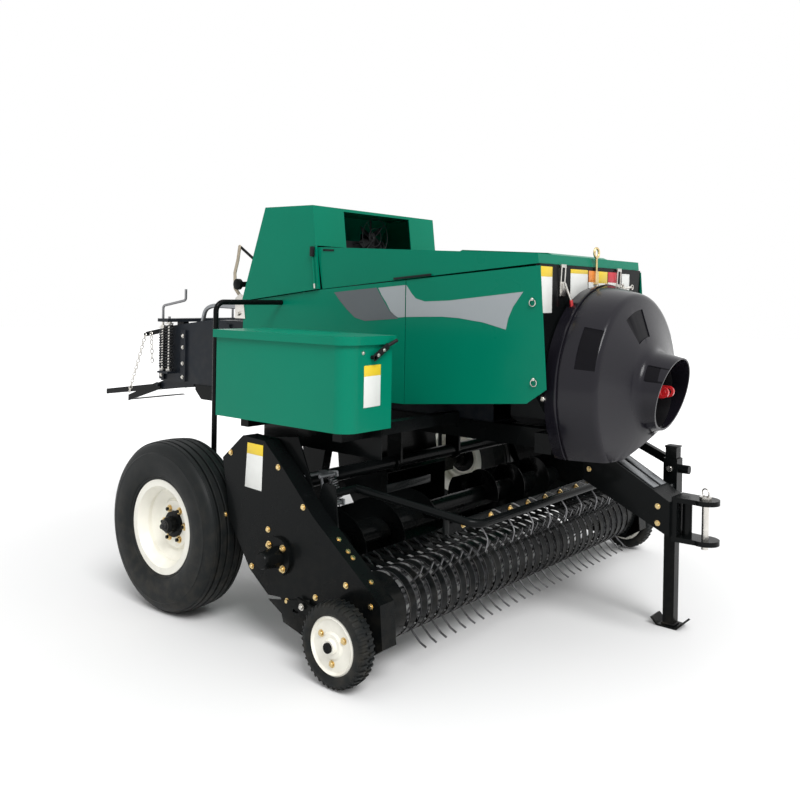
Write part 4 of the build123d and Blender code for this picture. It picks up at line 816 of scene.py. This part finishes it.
class BALER_OT_hood_trim(bpy.types.Operator):
    """Latches, ring pulls, seam grips, hinge leaves and seam latches of the hoods"""

    bl_idname = "baler.hood_trim"
    bl_label = "Hood trim"

    def execute(self, context):
        metal, grips = [], []
        for y, reach in ((-0.300, 0.175), (0.225, 0.130)):
            pieces, grip = over_centre_latch(y, 1.578, reach)
            metal += pieces
            grips.append(grip)
        finish(join(metal), "front_latches", "zinc", "chassis")
        finish(join(grips), "latch_grips", "red", "chassis")
        pulls, seams, hinges = [], [], []
        for side in (-1, 1):
            face = side * PANEL_FACE
            for x, z in ((1.472, 1.435), (1.484, 1.111)):
                pulls.append(ring(at(x, face + side * 0.0045, z - 0.012), ALONG_Y, 0.014, 0.0022))
                pulls.append(rod(at(x, face, z + 0.003), at(x, face + side * 0.009, z + 0.003), 0.0065))
            y = face + side * 0.0035
            seams.append(bar(at(0.735, y, 1.520), at(0.952, y, 1.539), 0.010, 0.006))
            seams.append(bar(at(-0.260, y, 1.413), at(-0.020, y, 1.442), 0.009, 0.006))
            y = side * 0.4765
            hinges.append(bar(at(0.270, y, 1.6625), at(0.345, y, 1.6590), 0.010, 0.003))
        finish(join(pulls), "ring_pulls", "zinc", "chassis")
        finish(join(seams), "seam_grips", "dark_plastic", "chassis")
        finish(join(hinges), "hood_hinge_leaves", "dark_plastic", "front_hood")
        caps, stems, tips = [], [], []
        for side in (-1, 1):
            y = side * 0.4965
            caps.append(block(at(0.205, side * 0.4905, 1.630), at(0.228, side * 0.5065, 1.680), 0.004))
            stems.append(rod(at(0.217, y, 1.632), at(0.234, y, 1.492), 0.0038))
            tips.append(rod(at(0.2335, y, 1.496), at(0.2365, y, 1.472), 0.0052))
        finish(join(caps), "seam_latch_caps", "dark_plastic", "knotter_hood")
        finish(join(stems), "seam_latch_rods", "green", "knotter_hood")
        finish(join(tips), "seam_latch_tips", "zinc", "knotter_hood")
        return {"FINISHED"}


# Flywheel cover

COVER_SKIN = [
    (1.5063, 0.4265), (1.5063, 0.4370), (1.5070, 0.4390), (1.5560, 0.4500), (1.5640, 0.4515),
    (1.5670, 0.4505), (1.5685, 0.4410), (1.5725, 0.4405), (1.5740, 0.4455), (1.5775, 0.4460),
    (1.7000, 0.4145), (1.7110, 0.4095), (1.7185, 0.4010), (1.7230, 0.3880), (1.7265, 0.3720),
    (1.7760, 0.2050), (1.7820, 0.1890), (1.7900, 0.1775), (1.8000, 0.1705), (1.8120, 0.1670),
    (1.9100, 0.1455), (1.9100, 0.1395), (1.8060, 0.1590), (1.7860, 0.1650), (1.7740, 0.1780),
    (1.7670, 0.1960), (1.7190, 0.3700), (1.7150, 0.3850), (1.7080, 0.3960), (1.6970, 0.4060),
    (1.5775, 0.4350), (1.5640, 0.4330), (1.5120, 0.4265),
]
HOLLOWS = [
    ((1.6300, 0.4288), (1.7080, 0.4090), [(1.7260, 0.4300), (1.6300, 0.4600)], 51, 25),
    ((1.7305, 0.3450), (1.7646, 0.2300), [(1.8000, 0.2400), (1.7650, 0.3550)], 3, 27),
    ((1.8080, 0.1650), (1.8620, 0.1532), [(1.8620, 0.1800), (1.8080, 0.1900)], 46, 25),
]
HOLLOW_STEPS = 10


class BALER_OT_cover(bpy.types.Operator):
    """The moulded flywheel cover: rear flange, seam, drum, hollows with painted shade on their floors,
    filleted throat and slanting mouth
    """

    bl_idname = "baler.cover"
    bl_label = "Flywheel cover"

    def execute(self, context):
        centre = at(0, 0, DRIVE_Z)
        cover = turned(COVER_SKIN + COVER_SKIN[:1], centre, ALONG_X, 120)
        under = plate([at(1.49, -0.60, 0.782), at(1.49, -0.19, 0.780), at(1.49, 0.50, 1.063),
                       at(1.49, 0.50, 0.30), at(1.49, -0.60, 0.30)], (0.292, 0, 0))
        slot = block(at(1.49, -0.088, 0.50), at(1.722, 0.088, 0.842), 0)
        mouth = plate([at(1.9110, -0.3, 1.218), at(2.05, -0.3, 1.218), at(2.05, -0.3, 0.860),
                       at(1.8190, -0.3, 0.860)], (0, 0.6, 0))
        hollows = [sector([low, high, *outer], centre, start, sweep)
                   for low, high, outer, start, sweep in HOLLOWS]
        cut(cover, [under, slot, mouth] + hollows)
        bevel(cover, 0.0012, 2, 40)
        finish(cover, "moulded_cover", "cover", "chassis", 30)
        # The faces on the floor of each hollow take the darker copy of the cover: painted shade in the
        # hollows.
        cover.data.materials.append(bpy.data.materials["cover_recess"])
        for face in cover.data.polygons:
            spot = face.center - centre
            reach = math.hypot(spot.y, spot.z)
            turn = math.degrees(math.atan2(-spot.y, spot.z))
            for (low_x, low_reach), (high_x, high_reach), outer, start, sweep in HOLLOWS:
                bottom = low_reach + (high_reach - low_reach) * (spot.x - low_x) / (high_x - low_x)
                inside = low_x < spot.x < high_x and start + 0.3 < turn < start + sweep - 0.3
                if inside and abs(reach - bottom) < 0.003:
                    face.material_index = 1
        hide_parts("flywheel_cover")
        guard = [(1.6150, 0.1520), (1.7860, 0.1560), (1.8000, 0.1590), (1.8000, 0.1560), (1.7870, 0.1530),
                 (1.6150, 0.1490)]
        tunnel = turned(guard + guard[:1], centre, ALONG_X, 48)
        finish(tunnel, "shaft_guard", "dark_plastic", "chassis")
        clamp = [block(at(1.528, 0.170, 1.470), at(1.556, 0.212, 1.484), 0.002),
                 rod(at(1.530, 0.180, 1.490), at(1.566, 0.236, 1.500), 0.0055),
                 rod(at(1.545, 0.205, 1.478), at(1.552, 0.176, 1.512), 0.0050),
                 ring(at(1.568, 0.240, 1.500), ALONG_X, 0.010, 0.0026),
                 wire([at(1.540, 0.165, 1.482), at(1.548, 0.080, 1.503), at(1.544, 0.020, 1.511)],
                      0.0035, 0.02)]
        finish(join(clamp), "cover_clamp", "zinc", "chassis")
        return {"FINISHED"}


# Rear of the machine

LINK = 0.034
LINK_WIRE = 0.003


class BALER_OT_rear_gear(bpy.types.Operator):
    """Tension springs and their seats, chute chains on their arms, spare chains and the stay pipes"""

    bl_idname = "baler.rear_gear"
    bl_label = "Springs, chains and stay pipe"

    def execute(self, context):
        springs, nuts, arms, links = [], [], [], []
        for side, tag in SIDES:
            y = side * 0.278
            for x, top in ((-1.330, 1.2150), (-1.264, 1.2400)):
                springs.append(coil(at(x, y, 0.9665), at(x, y, top - 0.004), 0.0215, sizes().spring, 15))
                for rise, reach, height, corners in ((0.0, 0.0260, 0.006, 20), (0.006, 0.0155, 0.012, 6)):
                    nut = [(0, 0.0085), (0, reach), (height, reach), (height, 0.0085), (0, 0.0085)]
                    nuts.append(turned(nut, at(x, y, top + rise), UP, corners))
            edge, hang, spare = side * 0.2435, side * 0.2620, side * 0.252
            arms.append(bar(at(-1.380, edge, 1.196), at(-1.560, edge, 1.165), 0.030, 0.008))
            arms.append(rod(at(-1.545, side * 0.2295, 1.167), at(-1.545, side * 0.2675, 1.167), 0.008))
            top, foot = at(-1.545, hang, 1.160), at(-1.772, side * 0.2260, 0.768)
            finish(chain([top, foot], LINK, LINK_WIRE), "chute_chain_" + tag, "zinc", "chassis",
                   span=("chute", top, foot))
            links.append(chain([at(-1.492, spare, 1.160), at(-1.478, spare, 0.985)], LINK, LINK_WIRE))
            links.append(ring(at(-1.545, hang, 1.159), ALONG_Y, 0.0125, LINK_WIRE, 16, 6))
            links.append(ring(at(-1.492, spare, 1.168), ALONG_Y, 0.0125, LINK_WIRE, 16, 6))
        finish(join(springs), "tension_springs", "iron", "chassis")
        finish(join(nuts), "spring_seats", "zinc", "chassis")
        finish(join(arms), "chain_arms", "black", "chassis")
        finish(join(links), "spare_chains", "zinc", "chassis")
        pipes = [wire([at(-1.016, y, 1.262), at(-0.991, y, 1.340), at(-0.921, y, 1.364), at(-0.330, y, 1.352)],
                      0.0130, 0.03, 3) for y in (-0.2120, 0.2120)]
        finish(join(pipes), "stay_pipes", "grey_steel", "chassis")
        return {"FINISHED"}


class BALER_OT_hood_linkage(bpy.types.Operator):
    """The stay arm behind the tall hood, its strut and knob, the latch plate and the fan's wire guard"""

    bl_idname = "baler.hood_linkage"
    bl_label = "Hood linkage and fan guard"

    def execute(self, context):
        arms, struts, plates = [], [], []
        path = [(-0.391, 1.694), (-0.405, 1.622), (-0.428, 1.553), (-0.425, 1.470), (-0.385, 1.430)]
        for side in (-1, 1):
            y, brace, hook, face = side * 0.4520, side * 0.4460, side * 0.4420, side * PANEL_FACE
            for (x0, z0), (x1, z1) in zip(path, path[1:]):
                arms.append(bar(at(x0, y, z0), at(x1, y, z1), 0.022, 0.006))
            arms += [rod(at(x, y - 0.0031, z), at(x, y + 0.0031, z), 0.011) for x, z in path]
            struts.append(rod(at(-0.391, brace, 1.694), at(-0.2475, brace, 1.606), 0.0075))
            struts.append(bar(at(-0.425, hook, 1.490), at(-0.287, hook, 1.490), 0.030, 0.008))
            knob = [(-0.014, 0), (-0.014, 0.024), (-0.010, 0.030), (0.010, 0.030), (0.014, 0.024), (0.014, 0)]
            struts.append(turned(knob, at(-0.378, side * 0.4700, 1.490), ALONG_Y, 24))
            plates.append(plate([at(-0.384, face, 1.306), at(-0.300, face, 1.306), at(-0.313, face, 1.380),
                                 at(-0.313, face, 1.428), at(-0.345, face, 1.439), at(-0.384, face, 1.415)],
                                (0, side * 0.004, 0), 0.0008))
            plates.append(rod(at(-0.352, face + side * 0.004, 1.330), at(-0.352, face + side * 0.016, 1.330),
                              0.011))
        finish(join(arms), "hood_stay_arms", "tan", "knotter_hood")
        finish(join(struts), "hood_stay_struts", "black", "knotter_hood")
        finish(join(plates), "rear_latch_plates", "zinc", "chassis")
        spot = at(0.134, 0.066, 1.762)
        guard = [ring(spot, ALONG_X, radius, 0.0018, 40, 6) for radius in (0.050, 0.104)]
        for k in range(4):
            turn = math.radians(45 + 90 * k)
            reach = Vector((0, math.cos(turn), math.sin(turn)))
            guard.append(rod(spot + reach * 0.010, spot + reach * 0.105, 0.0018, 8))
        for y in (-0.030, 0.162):
            guard.append(wire([at(0.134, y, 1.730), at(0.110, y, 1.728), at(0.0605, y, 1.722)],
                              0.0024, 0.008))
        finish(join(guard), "fan_guard", "iron", "chassis")
        return {"FINISHED"}


# Pickup

def band_places():
    """Both edges of every stripper band across the pickup."""
    pitch, half_band, count = 0.066, 0.0195, 29
    middle = (count - 1) / 2
    return [(k - middle) * pitch + edge for k in range(count) for edge in (-half_band, half_band)]


class BALER_OT_pickup_trim(bpy.types.Operator):
    """Band edges, wind guard rods and rail, bearing caps, inner guards, gauge brackets, float springs"""

    bl_idname = "baler.pickup_trim"
    bl_label = "Pickup trim"

    def execute(self, context):
        edges = []
        radius = REEL["radius"] + 0.0005
        for y in band_places():
            turns = [math.radians(angle) for angle in range(-84, 118, 12)]
            arc = [at(REEL["x"] + radius * math.cos(a), y, REEL["z"] + radius * math.sin(a)) for a in turns]
            edges.append(wire(arc, sizes().wire, sides=1))
        finish(join(edges), "band_edges", "iron", "pickup", 60)
        rail_x, rail_z, half = 1.262, 0.5200, 0.775
        rail = [bar(at(rail_x, -half, rail_z), at(rail_x, half, rail_z), 0.044, 0.006, ALONG_X)]
        for side in (-1, 1):
            y = side * 0.762
            rail.append(bar(at(rail_x, y, 0.502), at(rail_x, y, 0.585), 0.030, 0.012, ALONG_X))
        rail.append(bar(at(1.000, -0.822, 0.650), at(1.000, -0.529, 0.650), 0.034, 0.008, ALONG_X))
        finish(join(rail), "wind_rail", "black", "pickup")
        spots = [-0.649, -0.450, -0.298, -0.151, 0.002, 0.142, 0.298, 0.450, 0.600]
        rods = []
        for y in spots:
            rods.append(wire([at(1.254, y + 0.012, 0.522), at(1.262, y + 0.012, 0.5475),
                              at(1.330, y + 0.030, 0.520), at(1.362, y + 0.040, 0.470),
                              at(1.345, y + 0.045, 0.415)], 0.0035, 0.018, 2))
        finish(join(rods), "wind_rods", "spring", "pickup")
        bolt_group("wind_rail_bolts", [((rail_x + 0.0031, y, rail_z), ALONG_X) for y in spots], "pickup",
                   "gold", radius=0.0115, stud=0.006)
        cap = [(0, 0.0315), (0, 0.0425), (0.006, 0.0430), (0.062, 0.0345), (0.076, 0.0330), (0.082, 0.0290),
               (0.0835, 0.0), (0.0790, 0.0), (0.0775, 0.0275), (0.0700, 0.0318), (0, 0.0315)]
        guard = [(0.400, 0.700), (0.382, 0.817), (0.716, 0.856), (0.797, 0.680), (0.838, 0.565),
                 (0.780, 0.520), (0.520, 0.520)]
        bracket = [(0.654, 0.202), (0.735, 0.161), (0.745, 0.130), (0.870, 0.100), (0.894, 0.253),
                   (0.762, 0.221)]
        caps, guards, brackets = [], [], []
        for side in (-1, 1):
            caps.append(turned(cap, at(AUGER["x"], side * 1.1563, AUGER["z"]), (0, side, 0), 40))
            guards.append(plate([at(x, side * 1.0440, z) for x, z in guard], (0, side * 0.0075, 0), 0.001))
            piece = plate([at(x, side * 1.1404, z) for x, z in bracket], (0, side * 0.0070, 0), 0.001)
            slot = block(at(0.800, side * 1.114, 0.184), at(0.832, side * 1.174, 0.196), 0.002)
            brackets.append(cut(piece, [slot]))
        finish(join(caps), "bearing_caps", "black", "pickup")
        finish(join(guards), "inner_guards", "black", "pickup")
        finish(join(brackets), "gauge_brackets", "black", "pickup")
        springs, links = [], []
        for side in (-1, 1):
            y = side * 0.955
            springs.append(coil(at(0.815, y, 0.700), at(0.862, y, 0.600), 0.016, 0.0028, 11, True))
            links.append(bar(at(0.742, y, 0.700), at(0.852, y, 0.712), 0.024, 0.008))
            links.append(bar(at(0.776, y, 0.590), at(0.892, y, 0.602), 0.024, 0.008))
            links.append(rod(at(0.754, y, 0.700), at(0.776, y, 0.590), 0.0065))
            for x, z in ((0.754, 0.700), (0.842, 0.711), (0.782, 0.591), (0.880, 0.601)):
                links.append(rod(at(x, y - 0.012, z), at(x, side * 1.0518, z), 0.0075))
        finish(join(springs), "float_springs", "spring", "pickup")
        finish(join(links), "float_links", "grey_steel", "pickup")
        return {"FINISHED"}


# Tongue and hitch

def tongue_top(x):
    """Height of the tongue's sloping top at x from the axle."""
    return 0.834 + (0.615 - 0.834) * (x - 1.500) / (1.895 - 1.500)


class BALER_OT_tongue_trim(bpy.types.Operator):
    """The strip along the tongue, the hitch pin's ring, the jack's pin, collar and cap"""

    bl_idname = "baler.tongue_trim"
    bl_label = "Tongue and jack trim"

    def execute(self, context):
        strip = []
        for y in (-0.036, 0.036):
            rear, front = (at(x, y, tongue_top(x) + 0.0033) for x in (1.560, 1.820))
            strip.append(bar(rear, front, 0.006, 0.050, ALONG_Y, 0.001))
        finish(join(strip), "tongue_strips", "grey_steel", "chassis")
        pins = [ring(at(2.014, 0.0, 0.6585), (0.4, 1, 0.1), 0.017, 0.0030),
                rod(at(1.788, 0.2455, 0.700), at(1.788, 0.2600, 0.700), 0.013),
                rod(at(1.788, 0.2455, 0.628), at(1.788, 0.2680, 0.628), 0.008),
                ring(at(1.788, 0.2640, 0.616), ALONG_Y, 0.013, 0.0024),
                rod(at(1.788, 0.1825, 0.700), at(1.788, 0.1700, 0.700), 0.013)]
        finish(join(pins), "hitch_and_jack_pins", "zinc", "chassis")
        cap = [block(at(1.7595, 0.1855, 0.7923), at(1.8165, 0.2425, 0.8000), 0.002),
               block(at(1.7570, 0.1830, 0.0085), at(1.8190, 0.2450, 0.0150), 0.002)]
        finish(join(cap), "jack_caps", "dark_plastic", "chassis")
        return {"FINISHED"}


# Twine boxes

class BALER_OT_box_trim(bpy.types.Operator):
    """The catch on each twine box, its rivets and the rail under the box"""

    bl_idname = "baler.box_trim"
    bl_label = "Twine box trim"

    def execute(self, context):
        catches, studs, rails = [], [], []
        x = BOX_FRONT + 0.0167
        for side in (-1, 1):
            low, pivot, high, tip = side * 0.992, side * 0.985, side * 0.905, side * 0.868
            catches.append(bar(at(x, low, 1.196), at(x, high, 1.244), 0.026, 0.008, ALONG_X, 0.002))
            catches.append(rod(at(x - 0.003, high, 1.244), at(x + 0.014, tip, 1.266), 0.0075))
            catches.append(rod(at(BOX_FRONT - 0.0001, pivot, 1.200), at(x + 0.004, pivot, 1.200), 0.0085))
            studs += [((x + 0.0041, side * y, z), ALONG_X) for y, z in ((0.968, 1.209), (0.934, 1.228))]
            studs.append(((BOX_FRONT, side * 1.035, 1.219), ALONG_X))
            rails.append(block(at(0.300, side * 0.864, 0.9050), at(1.010, side * 0.900, 0.9098), 0.001))
            rails.append(block(at(0.300, side * 0.864, 0.7750), at(1.010, side * 0.869, 0.9090), 0.001))
        finish(join(catches), "box_catches", "dark_plastic", "chassis")
        finish(join(rails), "box_rails", "black", "chassis")
        bolt_group("box_catch_rivets", studs, "chassis", "zinc", radius=0.0060)
        return {"FINISHED"}


# Studio

FLOOR_RADIUS = 30
FLOOR_GAP = 0.001
FLOOR_COLOUR = (0.80, 0.80, 0.80)
FLOOR_GLOW = 0.35
FLOOR_FADE = (1.2, 4.5)
HORIZON = -0.05
ZENITH = 0.85
LOW_LIGHT = 0.22
HIGH_LIGHT = 0.95
SUN_STRENGTH = 2.1
SUN_WIDTH = 28
SUN_AIM = (-0.75, 0.40, -0.95)
CAMERA_PLACE = (3.6379, -3.5217, 1.4458)
CAMERA_YAW = 39.6506
CAMERA_PITCH = 0.3612
CAMERA_ROLL = 0.9644
CAMERA_LENS = 38.917
CAMERA_SHIFT_Y = -0.1243


def aim_camera(camera):
    """Turns the camera by yaw, pitch and roll."""
    yaw, pitch, roll = (math.radians(v) for v in (CAMERA_YAW, CAMERA_PITCH, CAMERA_ROLL))
    ahead = Vector((-math.sin(yaw) * math.cos(pitch), math.cos(yaw) * math.cos(pitch), -math.sin(pitch)))
    right = ahead.cross(UP).normalized()
    up = right.cross(ahead)
    right_rolled = right * math.cos(roll) + up * math.sin(roll)
    up_rolled = up * math.cos(roll) - right * math.sin(roll)
    turn = Matrix((right_rolled, up_rolled, -ahead)).transposed().to_4x4()
    camera.matrix_world = Matrix.Translation(CAMERA_PLACE) @ turn


def seen_directly(tree):
    """One where a ray comes from the camera, a reflection or glass, and nothing where it only lights."""
    path = add(tree, "LightPath").outputs
    most = path["Is Camera Ray"]
    for label in ("Is Glossy Ray", "Is Transmission Ray"):
        most = add(tree, "Math", {0: most, 1: path[label]}, operation="MAXIMUM").outputs[0]
    return most


def floor_material(rgb, glow, near, far):
    """A pale matt floor that turns to plain white towards the backdrop, where no shadow falls."""
    material = bpy.data.materials.new("floor_white")
    material.use_nodes = True
    tree = material.node_tree
    reach = add(tree, "VectorMath", {0: add(tree, "TexCoord").outputs["Object"]}, operation="LENGTH")
    fade = add(tree, "MapRange", {0: reach.outputs["Value"], 1: near, 2: far, 3: 0.0, 4: glow},
               interpolation_type="SMOOTHSTEP")
    strength = add(tree, "Math", {0: fade.outputs[0], 1: seen_directly(tree)}, operation="MULTIPLY")
    feed(tree, tree.nodes["Principled BSDF"],
         {"Base Color": (*rgb, 1.0), "Roughness": 0.9, "Specular IOR Level": 0.1,
          "Emission Color": (1, 1, 1, 1), "Emission Strength": strength.outputs[0]})
    return material


def studio_world():
    """White to the eye and in reflections, and a soft light that comes mostly from above."""
    world = bpy.data.worlds.new("studio")
    world.use_nodes = True
    tree = world.node_tree
    split = add(tree, "SeparateXYZ", {0: add(tree, "TexCoord").outputs["Generated"]})
    overhead = add(tree, "MapRange", {0: split.outputs["Z"], 1: HORIZON, 2: ZENITH, 3: LOW_LIGHT,
                                      4: HIGH_LIGHT}, interpolation_type="SMOOTHSTEP")
    strength = add(tree, "Mix", {0: seen_directly(tree), 2: overhead.outputs[0], 3: 1.0}, data_type="FLOAT")
    feed(tree, tree.nodes["Background"], {"Color": (1, 1, 1, 1), "Strength": strength.outputs[0]})
    return world


class BALER_OT_stage(bpy.types.Operator):
    """Floor, soft lights, white surround and the camera"""

    bl_idname = "baler.stage"
    bl_label = "Studio and camera"

    def execute(self, context):
        clear_selection()
        bpy.ops.mesh.primitive_circle_add(vertices=96, radius=FLOOR_RADIUS, fill_type="NGON",
                                          location=(0, 0, -FLOOR_GAP))
        floor = context.view_layer.objects.active
        floor.name = "floor"
        floor.data.materials.append(floor_material(FLOOR_COLOUR, FLOOR_GLOW, *FLOOR_FADE))
        context.scene.world = studio_world()
        clear_selection()
        bpy.ops.object.light_add(type="SUN", location=(4, -2, 6))
        sun = context.view_layer.objects.active
        sun.name = "soft_sun"
        sun.data.energy = SUN_STRENGTH
        sun.data.angle = math.radians(SUN_WIDTH)
        sun.rotation_mode = "QUATERNION"
        sun.rotation_quaternion = Vector(SUN_AIM).to_track_quat("-Z", "Y")
        clear_selection()
        bpy.ops.object.camera_add()
        camera = context.view_layer.objects.active
        camera.name = "camera"
        camera.data.sensor_width = 36
        camera.data.lens = CAMERA_LENS
        camera.data.shift_y = CAMERA_SHIFT_Y
        camera.data.dof.use_dof = False
        aim_camera(camera)
        context.scene.camera = camera
        context.scene.view_settings.view_transform = "Standard"
        return {"FINISHED"}


OPERATORS = (
    BALER_OT_paint, BALER_OT_main_tyres, BALER_OT_wheel_fixings, BALER_OT_gauge_tyres, BALER_OT_bolts,
    BALER_OT_signs, BALER_OT_stripes, BALER_OT_hood_trim, BALER_OT_cover, BALER_OT_rear_gear,
    BALER_OT_hood_linkage, BALER_OT_pickup_trim, BALER_OT_tongue_trim, BALER_OT_box_trim, BALER_OT_stage,
)


class BALER_PT_tools(bpy.types.Panel):
    """The baler's colours, sizes and building steps."""

    bl_label = "Square baler"
    bl_idname = "BALER_PT_tools"
    bl_space_type = "VIEW_3D"
    bl_region_type = "UI"
    bl_category = "Baler"

    def draw(self, context):
        layout = self.layout
        for group in (context.scene.baler_colours, context.scene.baler_sizes):
            for key in group.__annotations__:
                layout.prop(group, key)
        for operator in OPERATORS:
            layout.operator(operator.bl_idname)


CLASSES = (BalerColours, BalerSizes, *OPERATORS, BALER_PT_tools)


def register():
    for kind in CLASSES:
        bpy.utils.register_class(kind)
    bpy.types.Scene.baler_colours = bpy.props.PointerProperty(type=BalerColours)
    bpy.types.Scene.baler_sizes = bpy.props.PointerProperty(type=BalerSizes)


def unregister():
    del bpy.types.Scene.baler_sizes
    del bpy.types.Scene.baler_colours
    for kind in reversed(CLASSES):
        bpy.utils.unregister_class(kind)


def main():
    register()
    for operator in OPERATORS:
        family, step = operator.bl_idname.split(".")
        getattr(getattr(bpy.ops, family), step)()


if __name__ == "__main__":
    main()
